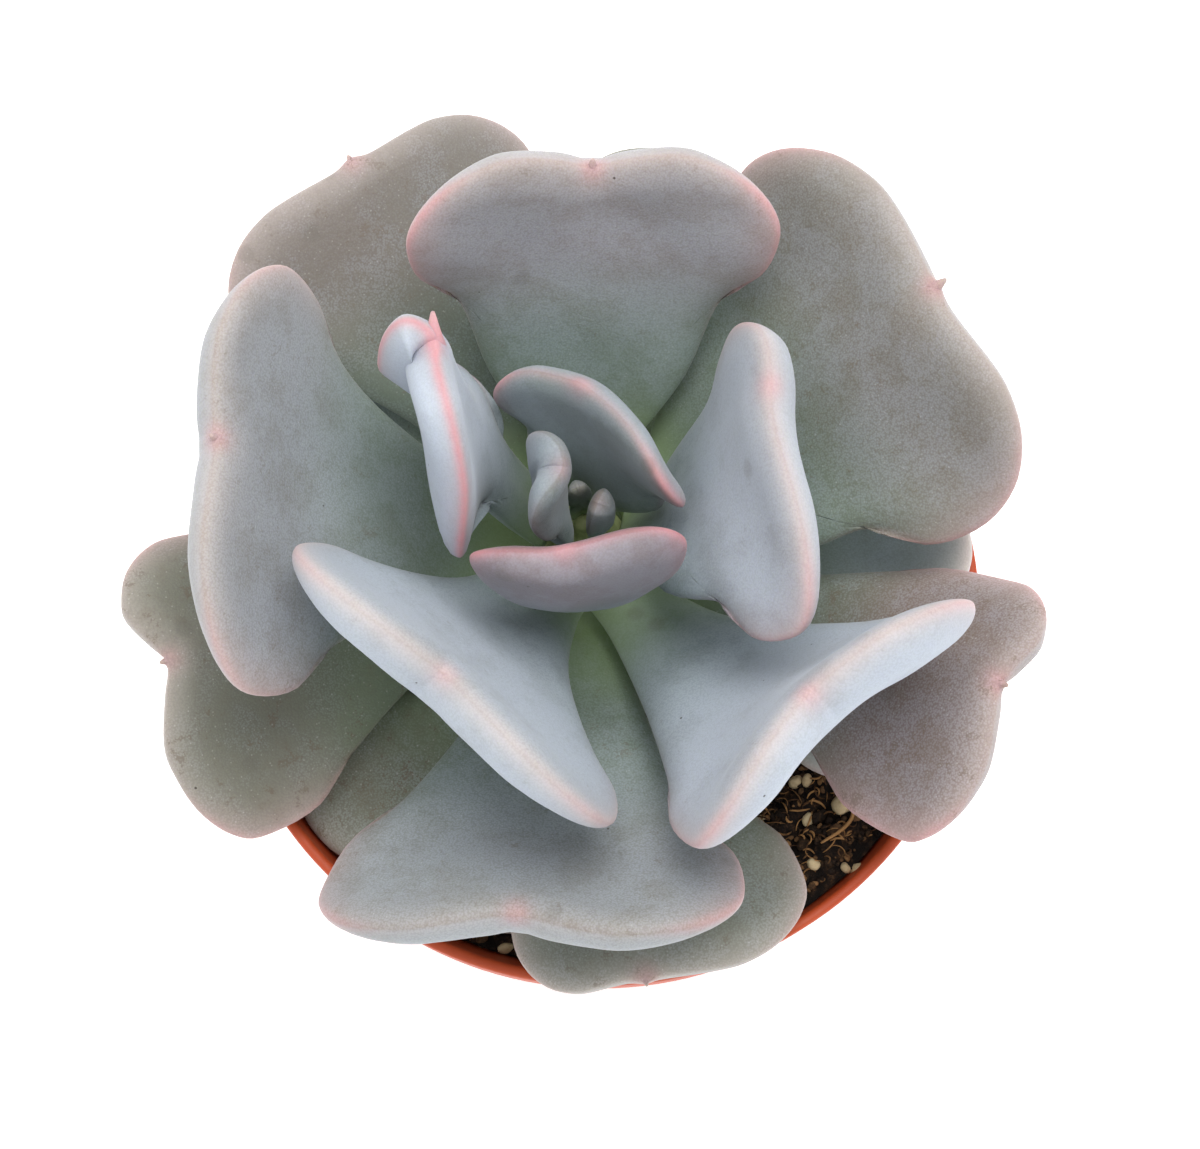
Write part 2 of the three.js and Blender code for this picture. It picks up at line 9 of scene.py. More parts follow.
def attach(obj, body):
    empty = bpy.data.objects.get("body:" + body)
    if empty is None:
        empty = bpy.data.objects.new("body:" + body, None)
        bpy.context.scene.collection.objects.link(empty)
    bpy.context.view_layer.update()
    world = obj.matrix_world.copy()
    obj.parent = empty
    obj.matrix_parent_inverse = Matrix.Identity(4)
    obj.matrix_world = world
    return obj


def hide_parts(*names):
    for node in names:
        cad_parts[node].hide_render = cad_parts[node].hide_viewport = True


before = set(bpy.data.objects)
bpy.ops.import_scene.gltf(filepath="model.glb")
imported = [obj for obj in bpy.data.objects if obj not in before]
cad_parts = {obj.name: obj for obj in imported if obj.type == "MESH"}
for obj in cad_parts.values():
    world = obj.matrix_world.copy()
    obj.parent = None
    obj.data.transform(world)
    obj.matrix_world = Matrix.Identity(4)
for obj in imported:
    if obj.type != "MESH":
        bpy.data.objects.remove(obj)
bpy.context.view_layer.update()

bl_info = {
    "name": "Potted rosette plant",
    "version": (1, 0, 0),
    "blender": (4, 5, 0),
    "location": "3D View > Sidebar > Plant",
    "description": "Builds a fleshy rosette plant in a round nursery pot",
    "category": "Add Mesh",
}

MM = 0.001  # the sizes below are in millimetres, and Blender's are in metres
TURN = 2 * math.pi


def srgb(red, green, blue):
    """A colour as a screen gives it, from 0 to 255, as the linear one that Blender reckons with."""
    shares = (value / 255 for value in (red, green, blue))
    return tuple(s / 12.92 if s <= 0.04045 else ((s + 0.055) / 1.055) ** 2.4 for s in shares)


# ---- the pot, the soil and the stem
COLLAR_HEIGHT = 10
COLLAR_STEP = 1.6
COLLAR_DRAFT = 0.9
BASE_RADIUS = 37
WALL = 1.3
LIP_WIDTH = 1.5
EDGE_ROUND = 0.7
FOOT_WIDTH = 4
PAD_RADIUS = 12
FLOOR_RISE = 3
FLOOR_SLOPE = 1.5
FLOOR_THICKNESS = 1.6
FLOOR_TOP = FLOOR_RISE + FLOOR_THICKNESS
DRAIN_RADIUS = 3.5
DRAIN_CIRCLE = 22
DRAIN_COUNT = 6
SEAT_GAP = 0.3
SOIL_CORNER = 2
SOIL_RINGS, SOIL_SIDES = 95, 300
LUMP_HEIGHT = 0.5
LUMP_ACROSS, LUMP_ALONG, LUMP_DIAGONAL = 11.4, 13, 7.4
SMOOTH_RADIUS = 18  # the lumps fade out towards the stem
BANK_HEIGHT, BANK_AZIMUTH, BANK_SPREAD, BANK_FOOT = 5, 308, 50, 24
BANK_ARC, BANK_DEPTH, BANK_CROWDING = (-40, 34), 18, 1.6  # where the bank's loose bits lie
CRUMB_SIZES = ((5.0, 0.7), (2.1, 0.55), (0.9, 0.35))  # how wide and how deep
STEM_CLEARANCE = 8.5  # loose bits keep this far from the stem's middle
BIG_GRAINS = (  # the place and radius of the largest mineral grains
    (33.4, -27.1, 1.5), (35.3, -36.3, 1.2), (33.6, -36, 0.9), (28.6, -23.4, 1), (-12.8, -46.2, 1))
LONG_FIBRE = ((34.3, -26.4), (34.7, -28.6), (33, -30.8), (30.2, -32.6))
LONG_FIBRE_RADIUS = 0.28
CHIP_COUNT, BANK_CHIP_COUNT = 800, 900
STRAW_COUNT, BANK_STRAW_COUNT = 160, 420
STRAW_STEPS = 12
STRAW_LIFT, STRAW_ARCH = 0.2, 0.5
GRAIN_ROUGHNESS, GRAIN_WAVE = 0.24, 2.2  # as shares of the grain's radius
STEM_X, STEM_Y = -2, 7
STEM_RADIUS = 6
STEM_FOOT = 58
STEM_SHOULDER = 97.5
STEM_TOP = 110.4
STEM_RINGS, STEM_SIDES = 110, 72
SCAR_STEP = 5.2  # from one leaf scar to the next up the stem
SCAR_DEPTH, STEM_SWELL = 0.12, 0.1

# ---- the leaves
MIDRIB_SHARE = 0.84
LAST_SPOKE = 14 / 15  # how far up the midrib's share the outline's last spoke starts
FOOT_SHARE, FOOT_EXTRA, FOOT_MOST = 0.17, 1.2, 6.2  # of the foot's half width
HEEL_PLACE, HEEL_SWELL = 0.13, 1.12
WAIST_PLACE = 0.36
LOBE_CENTRE = 0.42
LOBE_ANGLES = (-60, -30, 0, 25, 50, 72)
LOBE_UNDER = 0.6
NOTCH_PLACE, NOTCH_DEPTH = 0.16, 0.45
TIP_SHARE, TIP_EXTRA, TIP_MOST = 0.03, 0.15, 0.8
TIP_START = 0.9  # from here on the outline's points lie closer
SIDE_POINTS, TIP_POINTS, TIP_ROWS = 46, 15, 7
MIDRIB_STEPS = 48
MIDRIB_REACH = 1.15
FOLD_STEPS = 12
FOLD_SHARE = 0.22
CHANNEL_END = 0.55
SPREAD_START, SPREAD_LENGTH = 0.3, 0.6
UPPER_SHARE = 0.22
MARGIN_DROP = 0.15
MARGIN_ROUND = 0.75
LOBE_TAPER, LOBE_START = 0.3, 0.5
KEEL, KEEL_WIDTH = 0.18, 0.35
FOOT_THICKNESS, FOOT_REACH = 0.62, 0.5
RINGS = 24  # from the midrib out to the margin, packed closer towards it
RING_POWER = 2.1
SWELL_SIZE = 17
GROOVE_DEPTH, GROOVE_WIDTH, GROOVE_END = 0.35, 1.5, 0.6
BUMP_HEIGHT, BUMP_WIDTH = 0.7, 1.7  # of the soft bump under the leaf's point
LEAST_THORN = 0.9  # shorter points are only a bump
THORN_ROOT = 0.7  # how deep the thorn starts inside the leaf, as a share of its length
THORN_WIDTH, THORN_EXTRA, THORN_BLUNT = 0.45, 0.35, 0.16
SHRINK = (0.997, 0.997, 0.999)  # the rounder margins stay inside the solids' box

# Each leaf's values, the same as on the solids but for the hook. Lengths are in mm and angles in degrees.
#   azimuth: where the leaf points, 0 along +X and 90 along +Y; seat, height: where its foot meets the stem
#   length, halfWidth: from the foot to the tip's notch, and from the midrib to the margin; thickness
#   lift, rise: the slope at the foot, and what the slope gains by the tip; sweep: the sideways bend
#   roll, twist: the turn about the midrib at the foot, and what the turn gains by the tip
#   channel, spread: how steeply the sides rise near the foot, and towards the tip, below 0 where they droop
#   lean: how much more the right side rises than the left; skew: how much wider the right side is
#   waist, shoulder: the width at a third of the length, and the place of the greatest width, as shares
#   notch: how far the lobes reach past the notch, as a share of the length; hook: where the point bends to
TYPICAL_LEAF = dict(
    seat=6.8, thickness=5.6, sweep=0, roll=0, twist=0, channel=14, spread=-12, lean=0, skew=0,
    waist=0.36, shoulder=0.8, notch=0.05, hook=(0, 0, 0))

LEAF_SHAPES = [  # from the bud outwards
    dict(azimuth=110, seat=1, height=110.5, length=9.4, halfWidth=1.8, thickness=2, lift=82, rise=4,
         channel=26, spread=0, waist=0.74, shoulder=0.55, notch=-0.02),
    dict(azimuth=332, seat=1.6, height=110.5, length=13.8, halfWidth=3, thickness=3, lift=89.5, rise=1,
         sweep=2, roll=-2, twist=-2, channel=31, spread=-4, waist=0.76, shoulder=0.55, notch=-0.02),
    dict(azimuth=192, seat=2.6, height=109.9, length=28.2, halfWidth=7.8, thickness=4, lift=86, rise=10,
         sweep=-18, roll=-21, twist=30, channel=0, spread=-48, lean=-16, waist=0.68, notch=0.03),
    dict(azimuth=88, seat=3.6, height=106.2, length=27.4, halfWidth=15.4, thickness=4, lift=79.5, rise=-15,
         sweep=14, roll=25, twist=22, channel=30, spread=22, lean=2, skew=0.17, waist=0.64, shoulder=0.71,
         notch=0),
    dict(azimuth=254.5, seat=4, height=106.8, length=35.2, halfWidth=13.8, thickness=4.6, lift=52.5,
         rise=51, sweep=31, roll=-3, twist=6, channel=47, spread=13, lean=9, skew=-0.12, waist=0.42,
         shoulder=0.83, notch=0.01),
    dict(azimuth=156, seat=4.8, height=105.9, length=45.4, halfWidth=15.8, lift=52.5, rise=29, sweep=-40,
         roll=-12, twist=-56, channel=5, spread=-56, lean=-68, skew=-0.22, shoulder=0.54, notch=0.07,
         hook=(0, 1.1, -0.5)),
    dict(azimuth=16.5, seat=5.6, height=102.3, length=44.8, halfWidth=21.2, thickness=5.8, lift=57.5,
         rise=15, sweep=16, roll=27, twist=11, channel=24, spread=1, lean=-23, skew=0.44, waist=0.56,
         shoulder=0.79, notch=0.01),
    dict(azimuth=236.5, seat=6.4, height=103.7, length=48.6, halfWidth=26.4, thickness=6.2, lift=38.5,
         rise=38, sweep=9, roll=9, twist=8, channel=19, spread=-5, skew=-0.03, waist=0.39, shoulder=0.81,
         notch=0.1),
    dict(azimuth=89, height=100.5, length=51, halfWidth=24.6, lift=35.5, rise=31, sweep=-2, twist=-4,
         channel=30, spread=17, lean=-4, waist=0.54, shoulder=0.84, notch=0.07),
    dict(azimuth=304.5, height=100.9, length=58.6, halfWidth=24.2, thickness=6.4, lift=16, rise=72,
         sweep=24, roll=4, twist=9, channel=-21, spread=-17, lean=2, skew=-0.07, waist=0.43, shoulder=0.87,
         notch=0.06),
    dict(azimuth=176.5, height=98.9, length=57, halfWidth=28.4, lift=25.5, rise=41, sweep=-2, roll=-9,
         channel=19, spread=6, lean=11, skew=-0.09, waist=0.45, shoulder=0.82),
    dict(azimuth=29.5, height=97, length=57.4, halfWidth=29.2, lift=37.5, rise=3, roll=7, twist=9,
         spread=-10, lean=-29, waist=0.6, shoulder=0.75, notch=0.01),
    dict(azimuth=265, height=95.7, length=59.8, halfWidth=27.6, lift=12.5, rise=43, sweep=-9, roll=-2,
         twist=-6, channel=18, spread=-6, lean=-10, waist=0.45, shoulder=0.85, notch=0.06),
    dict(azimuth=124, height=94.8, length=55.4, halfWidth=24.4, lift=21, rise=3, sweep=-3, roll=3,
         twist=-6, channel=5, lean=-8, waist=0.42, notch=0),
    dict(azimuth=338, height=93.3, length=59, halfWidth=19.4, lift=19.5, rise=19, sweep=-6, twist=-11,
         channel=-3, spread=-17, lean=14, skew=0.2, shoulder=0.89, notch=0.04),
    dict(azimuth=196.5, height=92.1, length=53.4, halfWidth=21.8, lift=13.5, rise=7, sweep=4, twist=7,
         channel=-2, spread=-15, lean=-4, skew=-0.2, waist=0.39, shoulder=0.88, notch=0.07),
    dict(azimuth=66.5, height=90.7, length=48, halfWidth=24.4, lift=13, rise=4, waist=0.42, shoulder=0.76),
    dict(azimuth=276, height=90.8, length=55.4, halfWidth=20.4, lift=11, rise=7, sweep=4, roll=6, twist=5,
         channel=-33, spread=-14, lean=-24, skew=-0.14, waist=0.3, shoulder=0.81, notch=0),
    dict(azimuth=144, height=87.7, length=45, halfWidth=23.2, thickness=5.4, lift=18.5, rise=4, twist=3,
         waist=0.42, shoulder=0.76),
    dict(azimuth=347, height=87.4, length=45.2, halfWidth=22.4, thickness=5.4, lift=19.5, rise=2, sweep=-7,
         roll=-2, twist=-8, channel=0, spread=3, lean=-13, waist=0.42, shoulder=0.76),
    dict(azimuth=242, height=87.1, length=43.6, halfWidth=22.2, thickness=5.2, lift=11.5, rise=-15, roll=8,
         twist=-6, channel=-17, spread=-9, waist=0.42, shoulder=0.78),
]

# How each leaf looks, from the bud outwards: the strength of its waxy bloom, mauve cast, green cast, cream
# zone inside the margin and pink margin, how much of the margin is pink, and its age, all from 0 up. Last
# comes the length of its point in mm.
# Besides each leaf's own colour, these strengths, the bloom most of all, were set leaf by leaf to darken
# some leaves and lighten others where light and shade fall on them, so they also hold painted light and
# painted shade.
LEAF_LOOKS = [
    (0.00, 0.1, 0.30, 0.0, 0.0, 0.3, 0.0, 0.2),
    (0.06, 0.3, 0.10, 0.0, 0.1, 0.3, 0.0, 0.2),
    (0.30, 0.2, 0.05, 0.0, 0.1, 0.5, 0.0, 0.3),
    (0.50, 0.2, 0.15, 0.0, 0.7, 0.4, 0.0, 0.6),
    (0.06, 1.1, 0.00, 0.0, 0.75, 0.5, 0.0, 0.6),
    (1.12, 0.5, 0.00, 0.1, 0.9, 1.0, 0.0, 3.0),
    (0.70, 0.5, 0.00, 0.2, 0.4, 0.3, 0.1, 0.8),
    (0.78, 0.2, 0.00, 0.2, 0.3, 0.2, 0.2, 0.4),
    (0.40, 0.9, 0.20, 0.5, 0.6, 0.1, 0.3, 1.6),
    (0.85, 0.5, 0.00, 0.2, 0.4, 0.2, 0.2, 0.8),
    (0.43, 0.6, 0.20, 0.5, 0.3, 0.1, 0.4, 1.5),
    (0.17, 0.6, 0.20, 0.5, 0.4, 0.1, 0.5, 2.0),
    (0.38, 0.4, 0.15, 0.3, 0.4, 0.1, 0.5, 0.8),
    (0.08, 0.6, 0.15, 0.6, 0.2, 0.1, 0.6, 1.2),
    (0.18, 1.2, 0.16, 0.5, 0.5, 0.1, 0.8, 1.6),
    (0.04, 0.5, 0.35, 0.6, 0.4, 0.1, 0.9, 1.4),
    (0.25, 0.3, 0.50, 0.2, 0.1, 0.1, 0.9, 1.1),
    (0.14, 0.3, 0.35, 0.5, 0.2, 0.1, 0.7, 1.2),
    (0.60, 0.1, 0.60, 0.2, 0.1, 0.1, 0.6, 1.1),
    (0.75, 0.1, 0.75, 0.9, 0.2, 0.1, 0.3, 1.1),
    (0.14, 0.4, 0.45, 0.4, 0.2, 0.1, 1.0, 1.1),
]
LOOK_SHARES = ("bloom", "mauve", "green", "cream", "blush", "reach", "age", "spine")
LEAVES = [
    {**TYPICAL_LEAF, **shape, **dict(zip(LOOK_SHARES, look))}
    for shape, look in zip(LEAF_SHAPES, LEAF_LOOKS)]

# ---- the floor, the light and the camera
FLOOR_REACH = 3  # in metres, as the lamp's size and place and the camera's aim
LAMP_SIZE, LAMP_PLACE = 0.7, (0.1, 0.25, 1.1)
CAMERA_AIM = (0.0001, 0.00437, 0.092)
PICTURE_WIDTH, FOCAL_PIXELS = 1200, 3478
SENSOR_WIDTH = 36  # in millimetres, as the lens
LENS_LENGTH = SENSOR_WIDTH * FOCAL_PIXELS / PICTURE_WIDTH

COLOUR = dict(subtype="COLOR", size=3, min=0, max=1)


class PotLook(bpy.types.PropertyGroup):
    """Sizes and colours of the pot"""
    rim_radius: FloatProperty(
        name="Rim radius", description="Outer radius of the lip", default=52.5 * MM, unit="LENGTH")
    height: FloatProperty(
        name="Height", description="Height of the pot", default=92 * MM, unit="LENGTH")
    colour: FloatVectorProperty(
        name="Plastic", description="Colour of the moulded plastic", default=srgb(178, 68, 30), **COLOUR)
    sides: IntProperty(
        name="Sides", description="How finely the pot is turned", default=160, min=24)


class SoilLook(bpy.types.PropertyGroup):
    """Sizes and colours of the potting mix"""
    level: FloatProperty(
        name="Level", description="Height of the soil's top", default=83.3 * MM, unit="LENGTH")
    colour: FloatVectorProperty(
        name="Mix", description="Colour of the damp mix", default=srgb(72, 52, 36), **COLOUR)
    mineral: FloatVectorProperty(
        name="Minerals", description="Colour of the pale grains", default=srgb(222, 202, 160), **COLOUR)
    fibre: FloatVectorProperty(
        name="Fibres", description="Colour of the plant fibres", default=srgb(176, 132, 84), **COLOUR)
    grain_count: IntProperty(
        name="Grain count", description="How many pale grains lie on the soil", default=190, min=0)


class LeafLook(bpy.types.PropertyGroup):
    """Colours and fine sizes of the leaves"""
    flesh: FloatVectorProperty(
        name="Flesh", description="Greyish green under the bloom", default=srgb(90, 108, 106), **COLOUR)
    mauve: FloatVectorProperty(
        name="Mauve", description="Brownish mauve that strong sun leaves",
        default=srgb(118, 97, 100), **COLOUR)
    foot: FloatVectorProperty(
        name="Foot", description="Yellowish green near the stem", default=srgb(134, 156, 110), **COLOUR)
    bloom: FloatVectorProperty(
        name="Bloom", description="Colour of the waxy powder", default=srgb(182, 192, 205), **COLOUR)
    cream: FloatVectorProperty(
        name="Cream", description="Colour of the zone inside the margin",
        default=srgb(210, 197, 192), **COLOUR)
    pink: FloatVectorProperty(
        name="Pink", description="Colour of the margin's crest and the point",
        default=srgb(208, 140, 146), **COLOUR)
    scuff: FloatVectorProperty(
        name="Scuffs", description="Colour of the corky scuffs", default=srgb(104, 90, 76), **COLOUR)
    grain: FloatProperty(
        name="Grain", description="Size of the fine bumps of the skin", default=0.28 * MM,
        unit="LENGTH", precision=5)
    relief: FloatProperty(
        name="Relief", description="Depth of the slow swells of the face", default=0.28 * MM,
        unit="LENGTH", precision=5)


class StageLook(bpy.types.PropertyGroup):
    """The floor, the light and the camera"""
    floor_colour: FloatVectorProperty(
        name="Floor", description="Colour of the floor", default=(0.9, 0.9, 0.9), **COLOUR)
    sky: FloatProperty(name="Sky", description="Strength of the light from all sides", default=1.0)
    lamp: FloatProperty(name="Lamp", description="Power of the large lamp", default=9, unit="POWER")
    distance: FloatProperty(
        name="Camera distance", description="From the camera to the middle of the plant",
        default=0.48, unit="LENGTH")
    elevation: FloatProperty(
        name="Camera elevation", description="How steeply the camera looks down",
        default=math.radians(76), subtype="ANGLE")


# ---- meshes ----
def ease(value):
    """A smooth step from 0 to 1."""
    t = np.clip(value, 0, 1)
    return t * t * (3 - 2 * t)


def lerp(a, b, share):
    """The value that lies share of the way from a to b."""
    return a + (b - a) * share


def fade(away, reach):
    """1 at nothing away, falling off like a bell over reach."""
    return np.exp(-((away / reach) ** 2))


def distance(points, place):
    """How far each point lies from a place."""
    return np.linalg.norm(points - place, axis=1)


def swells(points, size, seed, count=7):
    """Slow even waves through points, each about size apart, from -1 to 1."""
    draw = np.random.default_rng(seed)
    ways = draw.normal(size=(count, points.shape[-1]))
    ways *= TURN / size / np.linalg.norm(ways, axis=1, keepdims=True)
    ways *= draw.uniform(0.7, 1.5, (count, 1))
    return np.sin(points @ ways.T + draw.uniform(0, TURN, count)).sum(axis=-1) / math.sqrt(2 * count)


def make_piece(name, vertices, faces, material, marks=None):
    """A mesh piece from vertices in millimetres, riding on the plant's one body."""
    mesh = bpy.data.meshes.new(name)
    mesh.from_pydata(np.asarray(vertices, float) * MM, [], faces)
    mesh.validate()
    for mark, values in (marks or {}).items():
        mesh.attributes.new(mark, "FLOAT", "POINT").data.foreach_set("value", values)
    mesh.shade_smooth()
    mesh.materials.append(material)
    piece = bpy.data.objects.new(name, mesh)
    bpy.context.scene.collection.objects.link(piece)
    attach(piece, "root")
    return piece


def ring_faces(rows):
    """Faces between rings of points. A ring that is one point closes the form."""
    faces = []
    for low, high in zip(rows, rows[1:]):
        for k in range(len(low)):
            after = (k + 1) % len(low)
            faces.append(tuple(dict.fromkeys((low[k], low[after], high[after], high[k]))))
    return [face for face in faces if len(face) > 2]


def lathe(profile, sides, centre=(0, 0)):
    """Vertices and faces of a body turned round an upright axis from [radius, height] points."""
    vertices, rows = [], []
    for radius, height in profile:
        count = sides if radius else 1
        rows.append([len(vertices) + k % count for k in range(sides)])
        for angle in TURN * np.arange(count) / sides:
            x, y = radius * math.cos(angle), radius * math.sin(angle)
            vertices.append((centre[0] + x, centre[1] + y, height))
    return np.array(vertices), ring_faces(rows)


def tube(centres, across, up, radii, sides):
    """Vertices and faces of a closed tube with a ring of points round each centre."""
    angles = TURN * np.arange(sides) / sides
    vertices = [
        centre + radius * (math.cos(angle) * a + math.sin(angle) * u)
        for centre, a, u, radius in zip(centres, across, up, radii) for angle in angles]
    rows = np.arange(len(vertices)).reshape(-1, sides).tolist()
    ends = [tuple(rows[0]), tuple(reversed(rows[-1]))]
    return np.array(vertices), ends + [tuple(reversed(face)) for face in ring_faces(rows)]


def rounded(points, radius, steps=4):
    """Points of a profile, with each inner corner turned into a small arc."""
    points = [np.array(p, float) for p in points]
    smooth = [points[0]]
    for before, corner, after in zip(points, points[1:], points[2:]):
        back, on = before - corner, after - corner
        reach = min(radius, 0.45 * np.linalg.norm(back), 0.45 * np.linalg.norm(on))
        start = corner + back / np.linalg.norm(back) * reach
        end = corner + on / np.linalg.norm(on) * reach
        for k in range(steps + 1):
            t = k / steps
            smooth.append((1 - t) ** 2 * start + 2 * t * (1 - t) * corner + t * t * end)
    return smooth + [points[-1]]


# ---- leaf ----
def catmull_rom(points, places):
    """Points of the smooth curve through points at places from 0 to 1."""
    points = np.array(points, float)
    last = len(points) - 1
    at = np.asarray(places) * last
    start = np.minimum(np.floor(at).astype(int), last)
    t = (at - start)[:, None]
    p0, p1 = points[np.maximum(start - 1, 0)], points[start]
    p2, p3 = points[np.minimum(start + 1, last)], points[np.minimum(start + 2, last)]
    v0, v1 = (p2 - p0) / 2, (p3 - p1) / 2
    return (2 * p1 - 2 * p2 + v0 + v1) * t**3 + (-3 * p1 + 3 * p2 - 2 * v0 - v1) * t**2 + v0 * t + p1


def side_outline(leaf):
    """One side of the flat outline from the foot to the tip, and where each spoke leaves the midrib."""
    length, half, waist = leaf["length"], leaf["halfWidth"], leaf["waist"]
    shoulder, notch = leaf["shoulder"], leaf["notch"]
    foot = min(FOOT_SHARE * half + FOOT_EXTRA, FOOT_MOST)
    points = [
        (foot, 0),
        (foot * HEEL_SWELL, HEEL_PLACE * length),
        (waist * half, WAIST_PLACE * length),
    ]
    for angle in np.radians(LOBE_ANGLES):
        reach = LOBE_UNDER * (shoulder - WAIST_PLACE) if angle < 0 else 1 + notch - shoulder
        x = LOBE_CENTRE + (1 - LOBE_CENTRE) * math.cos(angle)
        y = shoulder + reach * math.sin(angle)
        points.append((x * half, y * length))
    points.append((LOBE_CENTRE * half, (1 + notch) * length))
    points.append((NOTCH_PLACE * half, (1 + NOTCH_DEPTH * notch) * length))
    points.append((min(TIP_MOST, TIP_SHARE * half + TIP_EXTRA), length))
    places = np.concatenate(
        [np.linspace(0, TIP_START, SIDE_POINTS), np.linspace(TIP_START, 1, TIP_POINTS)[1:]])
    side = catmull_rom(points, places)
    ends = np.linspace(0, 1, TIP_ROWS)[1:]
    tip = np.column_stack([points[-1][0] * (1 - ends), np.full(len(ends), length)])
    starts = np.concatenate([places * LAST_SPOKE, lerp(LAST_SPOKE, 1, ends)])
    return np.vstack([side, tip]), starts


def margin_distance(points, margin):
    """How far each flat point lies from the margin's line."""
    start, end = margin[:-1], margin[1:]
    along = end - start
    size = np.maximum((along**2).sum(axis=1), 1e-12)
    nearest = np.full(len(points), np.inf)
    for a, d, s in zip(start, along, size):
        share = np.clip(((points - a) @ d) / s, 0, 1)
        nearest = np.minimum(nearest, np.linalg.norm(points - a - share[:, None] * d, axis=1))
    return nearest


def midrib_frames(leaf):
    """The midrib in space: its points, the directions to the right, up and along, and the step."""
    t = np.linspace(0, MIDRIB_REACH, MIDRIB_STEPS + 1)
    slope = np.radians(leaf["lift"] + leaf["rise"] * t)
    heading = np.radians(leaf["azimuth"] + leaf["sweep"] * t)
    along = np.column_stack(
        [np.cos(slope) * np.cos(heading), np.cos(slope) * np.sin(heading), np.sin(slope)])
    right = np.column_stack([np.sin(heading), -np.cos(heading), np.zeros_like(t)])
    up = np.cross(right, along)
    turn = np.radians(leaf["roll"] + leaf["twist"] * t)[:, None]
    right, up = right * np.cos(turn) + up * np.sin(turn), up * np.cos(turn) - right * np.sin(turn)
    foot = math.radians(leaf["azimuth"])
    seat = leaf["seat"]
    start = [STEM_X + seat * math.cos(foot), STEM_Y + seat * math.sin(foot), leaf["height"]]
    step = MIDRIB_REACH * leaf["length"] / MIDRIB_STEPS
    points = np.vstack([[start], start + np.cumsum((along[1:] + along[:-1]) * step / 2, axis=0)])
    return points, right, up, along, step


def bent_points(leaf, flat):
    """The points of the bent leaf over flat points, and the directions up from its face there."""
    points, right, up, _, step = midrib_frames(leaf)
    x, y = flat[:, 0], flat[:, 1]
    t, side, width = y / leaf["length"], np.sign(x), np.abs(x)
    channel = leaf["channel"] * (1 - ease(t / CHANNEL_END))
    spread = (leaf["spread"] + side * leaf["lean"]) * ease((t - SPREAD_START) / SPREAD_LENGTH)
    rise = np.radians(channel + spread)
    softness = FOLD_SHARE * leaf["halfWidth"] + 1
    across, above = np.zeros_like(x), np.zeros_like(x)
    for k in range(FOLD_STEPS):
        slope = rise * (1 - np.exp(-width * (k + 0.5) / FOLD_STEPS / softness))
        across += np.cos(slope) * width / FOLD_STEPS
        above += np.sin(slope) * width / FOLD_STEPS
    place = np.clip(y / step, 0, MIDRIB_STEPS)
    below = np.minimum(place.astype(int), MIDRIB_STEPS - 1)
    share = (place - below)[:, None]
    centre, right, up = (lerp(a[below], a[below + 1], share) for a in (points, right, up))
    edge = (rise * (1 - np.exp(-width / softness)))[:, None]
    side = side[:, None]
    bent = centre + right * side * across[:, None] + up * above[:, None]
    return bent, up * np.cos(edge) - right * side * np.sin(edge)


def flat_leaf(leaf):
    """The flat leaf's points, row by row from the midrib out, its margin, and the row of its tip."""
    side, starts = side_outline(leaf)
    margin = np.vstack([side, side[-2::-1]])
    starts = np.concatenate([starts, starts[-2::-1]])
    on_right = np.arange(len(margin)) < len(side)
    margin[:, 0] *= np.where(on_right, 1 + leaf["skew"], leaf["skew"] - 1)
    midrib = np.column_stack([np.zeros(len(margin)), MIDRIB_SHARE * leaf["length"] * starts])
    shares = 1 - (1 - np.linspace(0, 1, RINGS)) ** RING_POWER
    flat = midrib[:, None] + (margin - midrib)[:, None] * shares[None, :, None]
    return flat.reshape(-1, 2), margin, len(side) - 1


def leaf_faces(rows, tip):
    """A leaf's faces. Both halves share the midrib's points, and the face and the back the margin's."""
    grid = np.arange(rows * RINGS).reshape(rows, RINGS)
    grid[tip + 1:, 0] = grid[tip - 1::-1, 0]
    under = grid + rows * RINGS
    under[:, -1] = grid[:, -1]
    faces = []
    for i in range(rows - 1):
        for j in range(RINGS - 1):
            faces.append((grid[i, j], grid[i, j + 1], grid[i + 1, j + 1], grid[i + 1, j]))
            faces.append((under[i, j], under[i + 1, j], under[i + 1, j + 1], under[i, j + 1]))
    foot = [*grid[0], *under[0, -2::-1], *under[-1, 1:], *grid[-1, -2:0:-1]]
    return [*faces, tuple(reversed(foot))]


